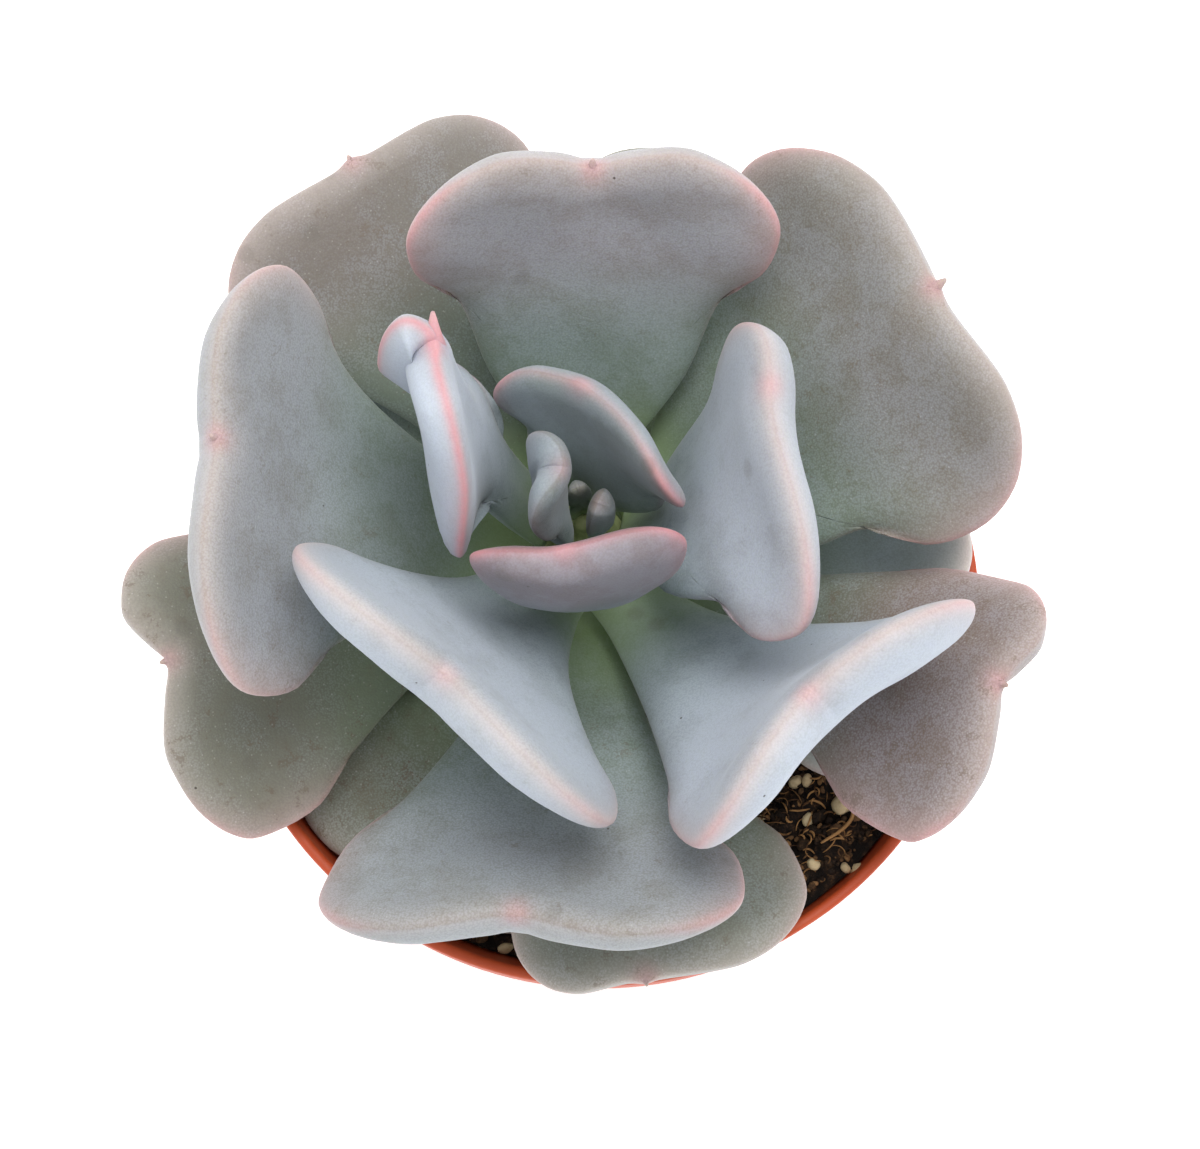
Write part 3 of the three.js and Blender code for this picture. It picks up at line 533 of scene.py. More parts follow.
def leaf_mesh(leaf, seed, relief):
    """Vertices, faces and marks of one leaf."""
    flat, margin, tip = flat_leaf(leaf)
    rows = len(margin)
    rim = margin_distance(flat, margin)
    rim.reshape(rows, RINGS)[:, -1] = 0
    bent, normal = bent_points(leaf, flat)

    x, t = flat[:, 0], flat[:, 1] / leaf["length"]
    half, thickness = leaf["halfWidth"], leaf["thickness"]
    lobe = np.abs(x) / (half * (1 + np.sign(x) * leaf["skew"]))
    inside = np.minimum(rim / (MARGIN_ROUND * thickness), 1)
    plump = np.sqrt(1 - (1 - inside) ** 2)
    taper = 1 - LOBE_TAPER * ease((lobe - LOBE_START) / (1 - LOBE_START))
    depth = thickness * lerp(FOOT_THICKNESS, 1, ease(t / FOOT_REACH)) * taper
    drop = MARGIN_DROP * depth * (1 - plump)
    keel = 1 + KEEL * fade(x, KEEL_WIDTH * half)
    places = np.column_stack([flat, np.full(len(flat), 7.0 * seed)])
    swell = relief * swells(places, SWELL_SIZE, seed) * inside**2
    groove = GROOVE_DEPTH * fade(x, GROOVE_WIDTH) * (1 - ease(t / GROOVE_END)) * inside
    face = bent + normal * (UPPER_SHARE * depth * plump - drop + swell - groove)[:, None]
    back = bent - normal * ((1 - UPPER_SHARE) * depth * plump * keel + drop + 0.5 * swell)[:, None]

    # The leaf's point: a soft bump, and a thorn on it where the point is long enough.
    point = face[tip * RINGS + RINGS - 1]
    *_, along, step = midrib_frames(leaf)
    way, spine = along[round(leaf["length"] / step)], leaf["spine"]
    vertices, faces = np.vstack([face, back]), leaf_faces(rows, tip)
    bump = BUMP_HEIGHT * min(spine, 1) * fade(distance(vertices, point), BUMP_WIDTH)
    vertices += way * bump[:, None]
    thorn, thorn_faces = np.empty((0, 3)), []
    if spine > LEAST_THORN:
        thorn, thorn_faces = thorn_mesh(point, way, np.array(leaf["hook"]), spine)
    faces += [tuple(v + len(vertices) for v in f) for f in thorn_faces]
    vertices = np.vstack([vertices, thorn])

    heights = (UPPER_SHARE + MARGIN_DROP, 1 - UPPER_SHARE - MARGIN_DROP)
    skins = [skin_distance(rim, inside, MARGIN_ROUND * thickness, height * depth) for height in heights]
    none = np.zeros(len(thorn))
    under = np.repeat([0.0, 1.0], len(flat))
    marks = leaf_marks(
        leaf, np.concatenate([*skins, none]), np.concatenate([t, t, none + 1]),
        np.concatenate([lobe, lobe, none]), distance(vertices, point), np.concatenate([under, none]))
    centre = (STEM_X, STEM_Y, STEM_FOOT)
    return keep_used(centre + (vertices - centre) * SHRINK, faces, marks)


def thorn_mesh(point, way, hook, length, rings=9, sides=12):
    """The small point at a leaf's tip: a cone with a flared foot, which can bend towards a hook."""
    across = np.cross(way, (0, 0, 1) if abs(way[2]) < 0.9 else (0, 1, 0))
    across /= np.linalg.norm(across)
    shares = np.linspace(0, 1, rings)
    centres = [
        point + way * (length * lerp(-THORN_ROOT, 1, s)) + hook * (length * s * s) for s in shares]
    radii = (THORN_WIDTH * length + THORN_EXTRA) * lerp(THORN_BLUNT, 1, (1 - shares) ** 0.8)
    return tube(centres, [across] * rings, [np.cross(across, way)] * rings, radii, sides)


def skin_distance(rim, inside, width, height, steps=12):
    """How far over the skin each point lies from the margin's crest, which is a quarter ellipse."""
    turn = np.arccos(1 - inside)
    arc = np.zeros_like(rim)
    for k in range(steps):
        part = turn * (k + 0.5) / steps
        arc += np.hypot(width * np.sin(part), height * np.cos(part)) * turn / steps
    return arc + np.maximum(rim - width, 0)


def limited(values):
    """The values kept between 0 and 1."""
    return np.clip(values, 0, 1)


def leaf_marks(leaf, skin, t, lobe, point, back):
    """Where each colour of the leaf lies, from 0 to 1.

    For each vertex, skin is its distance over the skin from the margin's crest in mm, t its share of the
    length, lobe its share of the half width, point its distance from the leaf's point in mm, and back is 1
    on the underside.
    """
    lobe_end = ease((lobe - 0.55) / 0.4)
    all_round = leaf["reach"] == 1
    line = fade(skin, 1 - 0.3 * leaf["reach"]) * lerp(lobe_end, 1, leaf["reach"]) * ease((t - 0.3) / 0.3)
    glow = 0.4 * fade(skin, 4.5) * lobe_end**2 * (1 - 0.4 * leaf["bloom"])
    crest = 0.36 * ease((leaf["bloom"] - 0.4) / 0.4) * (1 - 0.6 * all_round) * fade(skin, 1.8)
    inner = np.exp(-skin / 3)
    waxy = lerp(0.35, 1, ease((t - 0.18) / 0.5)) * (1 - 0.65 * inner)
    tip = 0.7 * leaf["spine"] / (leaf["spine"] + 0.5) * fade(point, 1.8)
    old = ease(t / 0.4) * (1 - 0.5 * back) + fade(point, 1.3)
    upper, far = ease((t - 0.5) / 0.3), ease((t - 0.58) / 0.22)
    return {
        "green": limited(leaf["green"] * (1 - 0.5 * upper) + 0.95 * (1 - ease(t / 0.36))),
        "mauve": leaf["mauve"] * ease((t - 0.4) / 0.4) * (1 - 0.25 * back),
        "cream": limited(leaf["cream"] * inner + crest) * far,
        "pink": limited(leaf["blush"] * (line + glow) + tip),
        "bloom": limited(leaf["bloom"] * waxy + 0.2 * back),
        "age": limited(leaf["age"] * old),
    }


def keep_used(vertices, faces, marks):
    """The same mesh without the points that no face uses."""
    used = np.unique(np.concatenate([np.array(f) for f in faces]))
    place = np.full(len(vertices), -1)
    place[used] = np.arange(len(used))
    faces = [tuple(int(place[v]) for v in f) for f in faces]
    return vertices[used], faces, {mark: values[used] for mark, values in marks.items()}


# ---- pot and soil shapes ----
def inner_radius(rim_radius, rim_height, z):
    """The pot's inner radius at a height."""
    collar_foot = rim_height - COLLAR_HEIGHT
    body_top = rim_radius - COLLAR_DRAFT - COLLAR_STEP
    if z > collar_foot:
        return lerp(body_top - WALL, rim_radius - LIP_WIDTH, (z - collar_foot) / COLLAR_HEIGHT)
    return lerp(BASE_RADIUS, body_top, z / collar_foot) - WALL


def pot_profile(rim_radius, rim_height):
    """The pot's section from the middle of its underside, up the outside and down the inside."""
    collar_foot = rim_height - COLLAR_HEIGHT
    body_top = rim_radius - COLLAR_DRAFT - COLLAR_STEP
    return rounded([
        (0, 0),
        (PAD_RADIUS, 0),
        (PAD_RADIUS + FLOOR_SLOPE, FLOOR_RISE),
        (BASE_RADIUS - FOOT_WIDTH - FLOOR_SLOPE, FLOOR_RISE),
        (BASE_RADIUS - FOOT_WIDTH, 0),
        (BASE_RADIUS, 0),
        (body_top, collar_foot - 0.5),
        (rim_radius - COLLAR_DRAFT, collar_foot),
        (rim_radius, rim_height),
        (rim_radius - LIP_WIDTH, rim_height),
        (inner_radius(rim_radius, rim_height, collar_foot), collar_foot),
        (inner_radius(rim_radius, rim_height, FLOOR_TOP), FLOOR_TOP),
        (PAD_RADIUS, FLOOR_TOP),
        (PAD_RADIUS - FLOOR_SLOPE, FLOOR_THICKNESS),
        (0, FLOOR_THICKNESS),
    ], EDGE_ROUND)


def soil_height(x, y, level, radius_out):
    """The height of the soil at a place: slow lumps, and the bank against the wall."""
    radius = np.hypot(x, y)
    wide = np.sin(TURN * x / LUMP_ACROSS) * np.cos(TURN * y / LUMP_ALONG)
    lumps = (wide + 0.7 * np.sin(TURN * (x - y) / LUMP_DIAGONAL)) * ease(radius / SMOOTH_RADIUS - 0.4)
    away = (np.degrees(np.arctan2(y, x)) - BANK_AZIMUTH + 180) % 360 - 180
    bank = ease(1 - np.abs(away) / BANK_SPREAD) * ease((radius - BANK_FOOT) / (radius_out - BANK_FOOT))
    return level + LUMP_HEIGHT * lumps + BANK_HEIGHT * bank


def crumbs(x, y):
    """The soil's crumbly relief at a place, in millimetres."""
    return sum(
        depth * noise.noise(Vector((x / size, y / size, 3.1 * size))) for size, depth in CRUMB_SIZES)


def pebble(draw, radius, squash, steps):
    """Vertices and faces of an irregular round grain."""
    count = 2 * steps
    vertices, rows = [(0, 0, -1)], [[0] * count]
    for i in range(1, steps):
        tilt = -math.pi / 2 + math.pi * i / steps
        rows.append([len(vertices) + k for k in range(count)])
        for k in range(count):
            angle = TURN * (k + 0.5 * (i % 2)) / count
            vertices.append(
                (math.cos(tilt) * math.cos(angle), math.cos(tilt) * math.sin(angle), math.sin(tilt)))
    rows.append([len(vertices)] * count)
    vertices = np.array([*vertices, (0, 0, 1)], float)
    waves = swells(vertices, GRAIN_WAVE, int(draw.integers(1e6)), 5)
    vertices *= (1 + GRAIN_ROUGHNESS * waves)[:, None]
    vertices *= radius * np.array([1, draw.uniform(0.7, 1), squash])
    turn = Matrix.Rotation(draw.uniform(0, TURN), 3, "Z")
    lean = Matrix.Rotation(draw.uniform(-0.6, 0.6), 3, "X")
    return vertices @ np.array(turn @ lean).T, ring_faces(rows)


def strand(path, radius, sides=6):
    """Vertices and faces of a thin tapered fibre along a path."""
    path = np.array(path, float)
    way = np.gradient(path, axis=0)
    way /= np.linalg.norm(way, axis=1, keepdims=True)
    across = np.cross(way, (0, 0, 1))
    across /= np.maximum(np.linalg.norm(across, axis=1, keepdims=True), 1e-9)
    radii = [radius * math.sin(math.pi * s) ** 0.5 for s in np.linspace(0.08, 0.92, len(path))]
    return tube(path, across, np.cross(across, way), radii, sides)


def scattered(draw, count, radius_out):
    """Places spread evenly over the soil, clear of the stem."""
    places = []
    while len(places) < count:
        x, y = draw.uniform(-radius_out, radius_out, 2)
        if math.hypot(x, y) < radius_out and math.hypot(x - STEM_X, y - STEM_Y) > STEM_CLEARANCE:
            places.append((x, y))
    return places


def banked(draw, count, radius_out):
    """Places on the bank, the more of them the nearer to the wall."""
    turns = np.radians(BANK_AZIMUTH + draw.uniform(*BANK_ARC, count))
    radii = radius_out - BANK_DEPTH * draw.uniform(0, 1, count) ** BANK_CROWDING
    return list(zip(radii * np.cos(turns), radii * np.sin(turns)))


def straw_path(draw, x, y, step, ground, reach):
    """The path of one straw over the ground, bent to one side, up to the pot's wall."""
    heading, bend, path = draw.uniform(0, TURN), draw.uniform(-0.3, 0.3), []
    for k in range(STRAW_STEPS):
        arch = STRAW_ARCH * math.sin(math.pi * k / (STRAW_STEPS - 1))
        path.append((x, y, ground(x, y) + STRAW_LIFT + arch))
        x, y = x + step * math.cos(heading), y + step * math.sin(heading)
        if math.hypot(x, y) > reach:
            break
        heading += bend
    return path


def gathered(parts):
    """Several (vertices, faces, tone) parts as one mesh, each with its tone as a mark."""
    vertices, faces, tones, start = [], [], [], 0
    for points, corners, tone in parts:
        vertices.append(points)
        faces += [tuple(v + start for v in f) for f in corners]
        tones.append(np.full(len(points), tone))
        start += len(points)
    return np.vstack(vertices), faces, {"tone": np.concatenate(tones)}


# ---- materials ----
class Reading:
    """A socket that can be reckoned with: each operator adds a Math node to its material."""

    def __init__(self, paint, socket):
        self.paint, self.socket = paint, socket

    def _math(self, operation, a, b):
        return self.paint.node("ShaderNodeMath", {"operation": operation}, {0: a, 1: b})

    def __add__(self, other):
        return self._math("ADD", self, other)

    __radd__ = __add__

    def __sub__(self, other):
        return self._math("SUBTRACT", self, other)

    def __rsub__(self, other):
        return self._math("SUBTRACT", other, self)

    def __mul__(self, other):
        return self._math("MULTIPLY", self, other)

    __rmul__ = __mul__

    def step(self, low, high):
        """0 up to low, 1 from high on, and smooth between them."""
        return self.paint.node(
            "ShaderNodeMapRange", {"interpolation_type": "SMOOTHSTEP"}, {0: self, 1: low, 2: high})


class Paint:
    """A material and the nodes that make it."""

    def __init__(self, name):
        self.material = bpy.data.materials.new(name)
        self.material.use_nodes = True
        self.tree = self.material.node_tree
        self.tree.nodes.clear()
        self.place = self.node("ShaderNodeTexCoord", out="Object")

    def node(self, kind, settings=None, sockets=None, out=0):
        """A node of a kind, with its settings, then the values or links of its sockets."""
        node = self.tree.nodes.new(kind)
        for key, value in (settings or {}).items():
            setattr(node, key, value)
        for key, value in (sockets or {}).items():
            if isinstance(value, Reading):
                self.tree.links.new(value.socket, node.inputs[key])
            elif np.ndim(value) and node.inputs[key].type == "RGBA":
                node.inputs[key].default_value = (*value, 1)
            else:
                node.inputs[key].default_value = value
        return Reading(self, node.outputs[out])

    def mark(self, name):
        """A value that the mesh holds at each point."""
        return self.node("ShaderNodeAttribute", {"attribute_name": name}, out="Fac")

    def noise(self, size, detail=2, rough=0.5):
        """Noise whose patches are about size millimetres wide."""
        return self.node("ShaderNodeTexNoise", None, {
            "Vector": self.place, "Scale": 1 / (size * MM), "Detail": detail, "Roughness": rough}, "Fac")

    def cells(self, size):
        """The distance from the middle of the nearest of the cells, about size millimetres wide."""
        return self.node("ShaderNodeTexVoronoi", {"feature": "F1"}, {
            "Vector": self.place, "Scale": 1 / (size * MM)}, "Distance")

    def blend(self, share, a, b):
        """Colour a turned into colour b by share."""
        settings = {"data_type": "RGBA", "blend_type": "MIX", "clamp_factor": True}
        return self.node("ShaderNodeMix", settings, {0: share, 6: a, 7: b}, 2)

    def bump(self, height, depth, under=None):
        """A normal from a height between 0 and 1, depth millimetres deep."""
        sockets = {"Height": height, "Strength": 1, "Distance": depth * MM}
        if under is not None:
            sockets["Normal"] = under
        return self.node("ShaderNodeBump", None, sockets)

    def surface(self, colour, roughness, normal=None, **sockets):
        """The finished material."""
        values = {"Base Color": colour, "Roughness": roughness, **sockets}
        if normal is not None:
            values["Normal"] = normal
        shader = self.node("ShaderNodeBsdfPrincipled", None, values)
        end = self.tree.nodes.new("ShaderNodeOutputMaterial")
        self.tree.links.new(shader.socket, end.inputs["Surface"])
        return self.material


def leaf_paint(look):
    """Fleshy skin: grained flesh under a waxy bloom, cream and pink towards the margin."""
    paint = Paint("leaf_skin")
    green, mauve, cream, pink = (paint.mark(m) for m in ("green", "mauve", "cream", "pink"))
    bloom, age = paint.mark("bloom"), paint.mark("age")
    grain = paint.cells(look.grain / MM)
    fine = paint.noise(0.5, 3, 0.6)
    mottle = paint.noise(1.6, 4, 0.65)
    patches = paint.noise(7, 4, 0.6)
    drift = paint.noise(24, 2)

    colour = paint.blend(mauve + (drift - 0.5) * 0.3 + (patches - 0.5) * 0.2, look.flesh, look.mauve)
    colour = paint.blend(age * 0.36, colour, look.scuff)
    colour = paint.blend(green + (patches - 0.5) * 0.1, colour, look.foot)

    # The bloom lies thinner in the gaps between the grains, and where the leaf was rubbed.
    worn = (patches + (1 - bloom) * 0.1 + (mottle - 0.5) * 0.3).step(0.52, 0.66)
    gaps = grain.step(0.3, 0.8)
    cover = bloom * 0.92 + 0.06 - worn * 0.09 - gaps * (0.05 + 0.16 * age) + (fine - 0.5) * 0.05
    cover = cover * (1 - green * 0.6)
    colour = paint.blend(cover, colour, look.bloom)
    colour = paint.blend(cream * (0.55 + drift * 0.5), colour, look.cream)
    colour = paint.blend(pink * (0.68 + (mottle - 0.5) * 0.5), colour, look.pink)

    # The skin is darker between the grains, most of all on the older leaves.
    colour = paint.blend(gaps * (0.05 + 0.13 * age), colour, srgb(88, 78, 82))

    # Brown smudges and corky scuffs on the older leaves, round faint spots and a few dark specks.
    smudge = (patches * 0.6 + mottle * 0.4 + age * 0.06).step(0.58, 0.72) * (0.05 + 0.2 * age)
    colour = paint.blend(smudge, colour, look.scuff)
    rough = (paint.noise(3.2, 5, 0.75) + age * 0.06 + gaps * 0.05).step(0.66, 0.73)
    colour = paint.blend(rough * (0.06 + 0.45 * age), colour, look.scuff)
    spot = 1 - paint.cells(13).step(0.06, 0.13)
    colour = paint.blend(spot * 0.25, colour, srgb(96, 92, 84))
    speck = 1 - paint.cells(8).step(0.016, 0.028)
    colour = paint.blend(speck * 0.8, colour, srgb(52, 42, 34))
    # Painted glints: tiny near-white highlights painted into the colour, more of them on the older leaves.
    painted_glint = 1 - paint.cells(0.9).step(0.09, 0.16)
    colour = paint.blend(painted_glint * (0.04 + 0.12 * age), colour, srgb(232, 232, 228))

    normal = paint.bump(grain * 0.6 + fine * 0.4, 0.035)
    normal = paint.bump(mottle, 0.06, normal)
    return paint.surface(colour, 0.55 + cover * 0.2, normal, **{
        "Specular IOR Level": 0.3, "Sheen Weight": 0.15, "Sheen Roughness": 0.45,
        "Subsurface Weight": 0.12, "Subsurface Radius": (0.8, 1.0, 0.4), "Subsurface Scale": 0.002})


def pot_paint(look):
    """Moulded plastic, thin and slightly chalky, with dust."""
    paint = Paint("pot_plastic")
    slow, fine = paint.noise(30, 3), paint.noise(1.2, 3, 0.6)
    colour = paint.blend((slow - 0.5) * 0.6 + 0.2, look.colour, srgb(190, 86, 44))
    dust = paint.noise(6, 4, 0.7).step(0.55, 0.8)
    colour = paint.blend(dust * 0.15, colour, srgb(200, 130, 96))
    normal = paint.bump(fine, 0.03)
    return paint.surface(colour, 0.42 + fine * 0.2, normal, **{"Specular IOR Level": 0.4})


def soil_paint(look):
    """Damp potting mix, nearly black between brown crumbs."""
    paint = Paint("potting_mix")
    crumb, fine = paint.noise(1.8, 5, 0.7), paint.noise(0.45, 3, 0.6)
    colour = paint.blend(crumb.step(0.45, 0.7), srgb(20, 14, 10), look.colour)
    colour = paint.blend((fine * crumb).step(0.36, 0.5), colour, srgb(126, 94, 62))
    normal = paint.bump(crumb * 0.7 + fine * 0.3, 0.5)
    return paint.surface(colour, 0.85, normal, **{"Specular IOR Level": 0.25})


def grain_paint(name, colour, dark, depth):
    """A matt material for loose bits, whose tone runs from dark to its own colour."""
    paint = Paint(name)
    tone, fine = paint.mark("tone"), paint.noise(0.5, 4, 0.65)
    mixed = paint.blend((tone + (fine - 0.5) * 0.8).step(0, 1), dark, colour)
    return paint.surface(mixed, 0.8, paint.bump(fine, depth), **{"Specular IOR Level": 0.3})


def stem_paint():
    """Green flesh turning brown and corky towards the soil."""
    paint = Paint("stem_skin")
    height = paint.node("ShaderNodeSeparateXYZ", None, {0: paint.place}, "Z") * (1 / MM)
    patches, fine = paint.noise(3.5, 4, 0.65), paint.noise(0.6, 3, 0.6)
    brown = 1 - (height + patches * 8).step(88, 102)
    colour = paint.blend(brown, srgb(140, 150, 104), srgb(112, 92, 68))
    colour = paint.blend(patches.step(0.5, 0.8) * 0.4, colour, srgb(168, 168, 140))
    return paint.surface(colour, 0.62 + fine * 0.15, paint.bump(patches * 0.6 + fine * 0.4, 0.25), **{
        "Specular IOR Level": 0.35})


# ---- operators ----
class PLANT_OT_pot(bpy.types.Operator):
    """Turn the pot and cut its drain holes"""
    bl_idname = "plant.pot"
    bl_label = "Pot"

    def execute(self, context):
        look = context.scene.plant_pot
        vertices, faces = lathe(pot_profile(look.rim_radius / MM, look.height / MM), look.sides)
        pot = make_piece("pot_shell", vertices, faces, pot_paint(look))
        whole, cutters = len(pot.data.vertices), []
        for k in range(DRAIN_COUNT):
            angle = TURN * k / DRAIN_COUNT
            centre = (DRAIN_CIRCLE * math.cos(angle), DRAIN_CIRCLE * math.sin(angle))
            section = [(0, 1), (DRAIN_RADIUS, 1), (DRAIN_RADIUS, FLOOR_TOP + 1), (0, FLOOR_TOP + 1)]
            cutters.append((*lathe(section, 40, centre), 0.0))
        vertices, faces, _ = gathered(cutters)
        mesh = bpy.data.meshes.new("drains")
        mesh.from_pydata(vertices * MM, [], faces)
        drains = bpy.data.objects.new("drains", mesh)
        context.scene.collection.objects.link(drains)
        cut = pot.modifiers.new("drain_holes", "BOOLEAN")
        cut.operation, cut.solver, cut.object = "DIFFERENCE", "EXACT", drains
        bpy.context.view_layer.update()
        bored = bpy.data.meshes.new_from_object(pot.evaluated_get(bpy.context.evaluated_depsgraph_get()))
        pot.modifiers.clear()
        pot.data = bored
        bpy.data.objects.remove(drains)
        bpy.data.meshes.remove(mesh)
        if len(bored.vertices) <= whole:
            raise RuntimeError("the drain holes were not cut")
        bored.shade_smooth()
        bored.set_sharp_from_angle(angle=math.radians(40))
        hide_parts("pot")
        return {"FINISHED"}


class PLANT_OT_soil(bpy.types.Operator):
    """Fill the pot with potting mix"""
    bl_idname = "plant.soil"
    bl_label = "Potting mix"

    def execute(self, context):
        pot, look = context.scene.plant_pot, context.scene.plant_soil
        rim_radius, rim_height, level = pot.rim_radius / MM, pot.height / MM, look.level / MM
        collar_foot = rim_height - COLLAR_HEIGHT

        def wall(z):
            return inner_radius(rim_radius, rim_height, z) - SEAT_GAP

        outer, bottom = wall(collar_foot), FLOOR_TOP + SEAT_GAP
        profile = [
            (0, bottom - FLOOR_RISE),
            (PAD_RADIUS - FLOOR_SLOPE - SEAT_GAP, bottom - FLOOR_RISE),
            (PAD_RADIUS - SEAT_GAP, bottom),
            (wall(bottom) - SOIL_CORNER, bottom),
            (wall(bottom + SOIL_CORNER), bottom + SOIL_CORNER),
            (outer - 0.2, collar_foot - 2),
        ]
        profile += [(outer * (1 - k / SOIL_RINGS), level) for k in range(SOIL_RINGS)] + [(0, level)]
        vertices, faces = lathe(profile, SOIL_SIDES)
        top = vertices[:, 2] == level
        x, y = vertices[top, 0], vertices[top, 1]
        heights = soil_height(x, y, level, outer)
        vertices[top, :2] *= (np.array([wall(z) for z in heights]) / outer)[:, None]
        vertices[top, 2] = heights + np.array([crumbs(a, b) for a, b in vertices[top, :2]])
        soil = make_piece("soil_mix", vertices, faces, soil_paint(look))
        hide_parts("soil")
        return {"FINISHED"}


class PLANT_OT_soil_bits(bpy.types.Operator):
    """Strew mineral grains, bark bits and fibres over the soil"""
    bl_idname = "plant.soil_bits"
    bl_label = "Grains and fibres"

    def execute(self, context):
        pot, look = context.scene.plant_pot, context.scene.plant_soil
        rim_height, level = pot.height / MM, look.level / MM
        outer = inner_radius(pot.rim_radius / MM, rim_height, rim_height - COLLAR_HEIGHT) - SEAT_GAP

        def ground(x, y):
            return float(soil_height(x, y, level, outer)) + crumbs(x, y)

        draw = np.random.default_rng(11)
        grains, chips = [], []
        spots = [(*at, draw.uniform(0.4, 1)) for at in scattered(draw, look.grain_count, outer - 1.5)]
        for x, y, radius in (*BIG_GRAINS, *spots):
            points, faces = pebble(draw, radius, draw.uniform(0.7, 1), 8)
            grains.append((points + (x, y, ground(x, y) + 0.1 * radius), faces, draw.uniform(0.5, 1)))
        spots = [(*at, draw.uniform(0.3, 1.3)) for at in scattered(draw, CHIP_COUNT, outer - 0.6)]
        spots += [(*at, draw.uniform(0.15, 0.6)) for at in banked(draw, BANK_CHIP_COUNT, outer)]
        for x, y, radius in spots:
            points, faces = pebble(draw, radius, draw.uniform(0.25, 0.6), 5)
            chips.append((points + (x, y, ground(x, y)), faces, draw.uniform(0, 1) ** 2))

        long_path = [(x, y, ground(x, y) + 0.7) for x, y in catmull_rom(LONG_FIBRE, np.linspace(0, 1, 16))]
        fibres = [(*strand(long_path, LONG_FIBRE_RADIUS), 1.0)]
        starts = [(*at, draw.uniform(0.2, 0.6)) for at in scattered(draw, STRAW_COUNT, outer - 2)]
        starts += [(*at, draw.uniform(0.08, 0.28)) for at in banked(draw, BANK_STRAW_COUNT, outer)]
        for x, y, step in starts:
            path = straw_path(draw, x, y, step, ground, outer + 0.3)
            if len(path) > 4:
                fibres.append((*strand(path, draw.uniform(0.05, 0.17)), draw.uniform(0, 1)))

        for name, parts, paint in (
            ("mineral_grains", grains, grain_paint("mineral", look.mineral, srgb(168, 138, 98), 0.15)),
            ("bark_bits", chips, grain_paint("bark", srgb(150, 112, 74), srgb(36, 25, 17), 0.3)),
            ("fibres", fibres, grain_paint("fibre", look.fibre, srgb(74, 50, 30), 0.05)),
        ):
            vertices, faces, marks = gathered(parts)
            make_piece(name, vertices, faces, paint, marks)
        return {"FINISHED"}


class PLANT_OT_stem(bpy.types.Operator):
    """Grow the short stem that carries the leaves"""
    bl_idname = "plant.stem"
    bl_label = "Stem"

    def execute(self, context):
        profile = [(0, STEM_FOOT)]
        for z in np.linspace(STEM_FOOT, STEM_TOP, STEM_RINGS):
            narrow = ease((z - STEM_SHOULDER) / (STEM_TOP - STEM_SHOULDER) * 0.8)
            radius = STEM_RADIUS * min(1, (z - STEM_FOOT) / 2 + 0.7) * (1 - 0.92 * narrow)
            profile.append((radius, z))
        profile.append((0, STEM_TOP + 0.1))
        vertices, faces = lathe(profile, STEM_SIDES, (STEM_X, STEM_Y))
        arm = vertices[:, :2] - (STEM_X, STEM_Y)
        reach = np.linalg.norm(arm, axis=1)
        turn, climb = np.arctan2(arm[:, 1], arm[:, 0]), TURN * vertices[:, 2] / SCAR_STEP
        scars = np.cos(3 * turn + climb) ** 8 * np.cos(2 * climb)
        depth = (SCAR_DEPTH * scars + STEM_SWELL * swells(vertices, 3, 5)) * (reach > 0.1)
        vertices[:, :2] += arm * (depth / np.maximum(reach, 1e-9))[:, None]
        stem = make_piece("stem_core", vertices, faces, stem_paint())
        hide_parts("stem")
        return {"FINISHED"}


class PLANT_OT_leaves(bpy.types.Operator):
    """Grow the leaves of the rosette"""
    bl_idname = "plant.leaves"
    bl_label = "Leaves"

    def execute(self, context):
        look = context.scene.plant_leaf
        skin = leaf_paint(look)
        for number, leaf in enumerate(LEAVES, 1):
            vertices, faces, marks = leaf_mesh(leaf, number, look.relief / MM)
            piece = make_piece(f"rosette_leaf_{number:02d}", vertices, faces, skin, marks)
            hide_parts(f"leaf_{number:02d}")
        return {"FINISHED"}


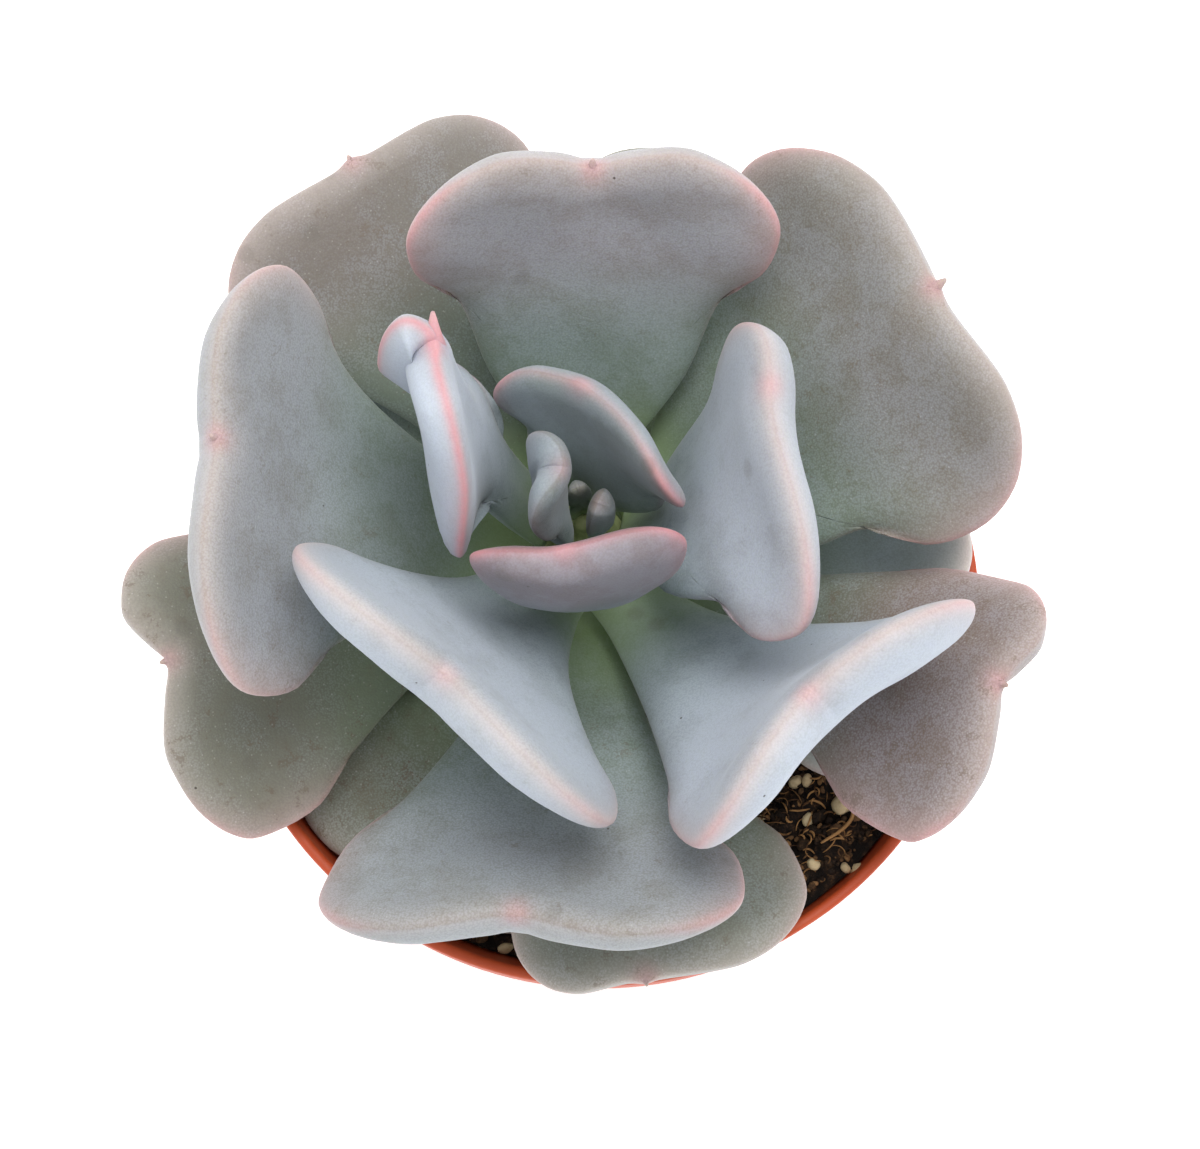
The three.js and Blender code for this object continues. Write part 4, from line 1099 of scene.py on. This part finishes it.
class PLANT_OT_stage(bpy.types.Operator):
    """Set the floor, the light and the camera"""
    bl_idname = "plant.stage"
    bl_label = "Floor, light and camera"

    def execute(self, context):
        look, scene = context.scene.plant_stage, context.scene
        mesh = bpy.data.meshes.new("floor")
        corners = [(x * FLOOR_REACH, y * FLOOR_REACH, 0) for x, y in ((-1, -1), (1, -1), (1, 1), (-1, 1))]
        mesh.from_pydata(corners, [], [(0, 1, 2, 3)])
        mesh.materials.append(Paint("floor").surface(tuple(look.floor_colour), 0.9, **{
            "Specular IOR Level": 0.1, "Emission Color": (1, 1, 1), "Emission Strength": 0.5}))
        floor = bpy.data.objects.new("floor", mesh)
        scene.collection.objects.link(floor)

        world = bpy.data.worlds.new("sky")
        scene.world = world
        world.use_nodes = True
        background = world.node_tree.nodes["Background"]
        background.inputs["Color"].default_value = (0.985, 0.99, 1.0, 1)
        background.inputs["Strength"].default_value = look.sky

        light = bpy.data.lights.new("lamp", "AREA")
        light.shape, light.size, light.energy = "DISK", LAMP_SIZE, look.lamp
        light.color = (1.0, 0.98, 0.95)
        lamp = bpy.data.objects.new("lamp", light)
        lamp.location = LAMP_PLACE
        lamp.rotation_euler = (-lamp.location).to_track_quat("-Z", "Y").to_euler()
        scene.collection.objects.link(lamp)

        lens = bpy.data.cameras.new("camera")
        lens.sensor_width, lens.lens = SENSOR_WIDTH, LENS_LENGTH
        lens.clip_start = 0.01
        camera = bpy.data.objects.new("camera", lens)
        away = Vector((0, -math.cos(look.elevation), math.sin(look.elevation)))
        camera.location = Vector(CAMERA_AIM) + look.distance * away
        camera.rotation_euler = away.to_track_quat("Z", "Y").to_euler()
        scene.collection.objects.link(camera)
        scene.camera = camera
        scene.view_settings.view_transform = "Standard"
        return {"FINISHED"}


class PLANT_PT_panel(bpy.types.Panel):
    """The plant's pieces and their sizes and colours"""
    bl_label = "Plant"
    bl_idname = "PLANT_PT_panel"
    bl_space_type = "VIEW_3D"
    bl_region_type = "UI"
    bl_category = "Plant"

    def draw(self, context):
        for holder, operators in SECTIONS:
            box = self.layout.box()
            look = getattr(context.scene, holder)
            for name in look.bl_rna.properties.keys():
                if name not in ("rna_type", "name"):
                    box.prop(look, name)
            for operator in operators:
                box.operator(operator.bl_idname)


LOOKS = {"plant_pot": PotLook, "plant_soil": SoilLook, "plant_leaf": LeafLook, "plant_stage": StageLook}
SECTIONS = (
    ("plant_pot", (PLANT_OT_pot,)),
    ("plant_soil", (PLANT_OT_soil, PLANT_OT_soil_bits)),
    ("plant_leaf", (PLANT_OT_stem, PLANT_OT_leaves)),
    ("plant_stage", (PLANT_OT_stage,)),
)
OPERATORS = [operator for _, operators in SECTIONS for operator in operators]
CLASSES = [*LOOKS.values(), *OPERATORS, PLANT_PT_panel]


def register():
    for cls in CLASSES:
        bpy.utils.register_class(cls)
    for holder, cls in LOOKS.items():
        setattr(bpy.types.Scene, holder, PointerProperty(type=cls))


def unregister():
    for holder in LOOKS:
        delattr(bpy.types.Scene, holder)
    for cls in reversed(CLASSES):
        bpy.utils.unregister_class(cls)


def main():
    register()
    for operator in OPERATORS:
        group, name = operator.bl_idname.split(".")
        getattr(getattr(bpy.ops, group), name)()


if __name__ == "__main__":
    main()
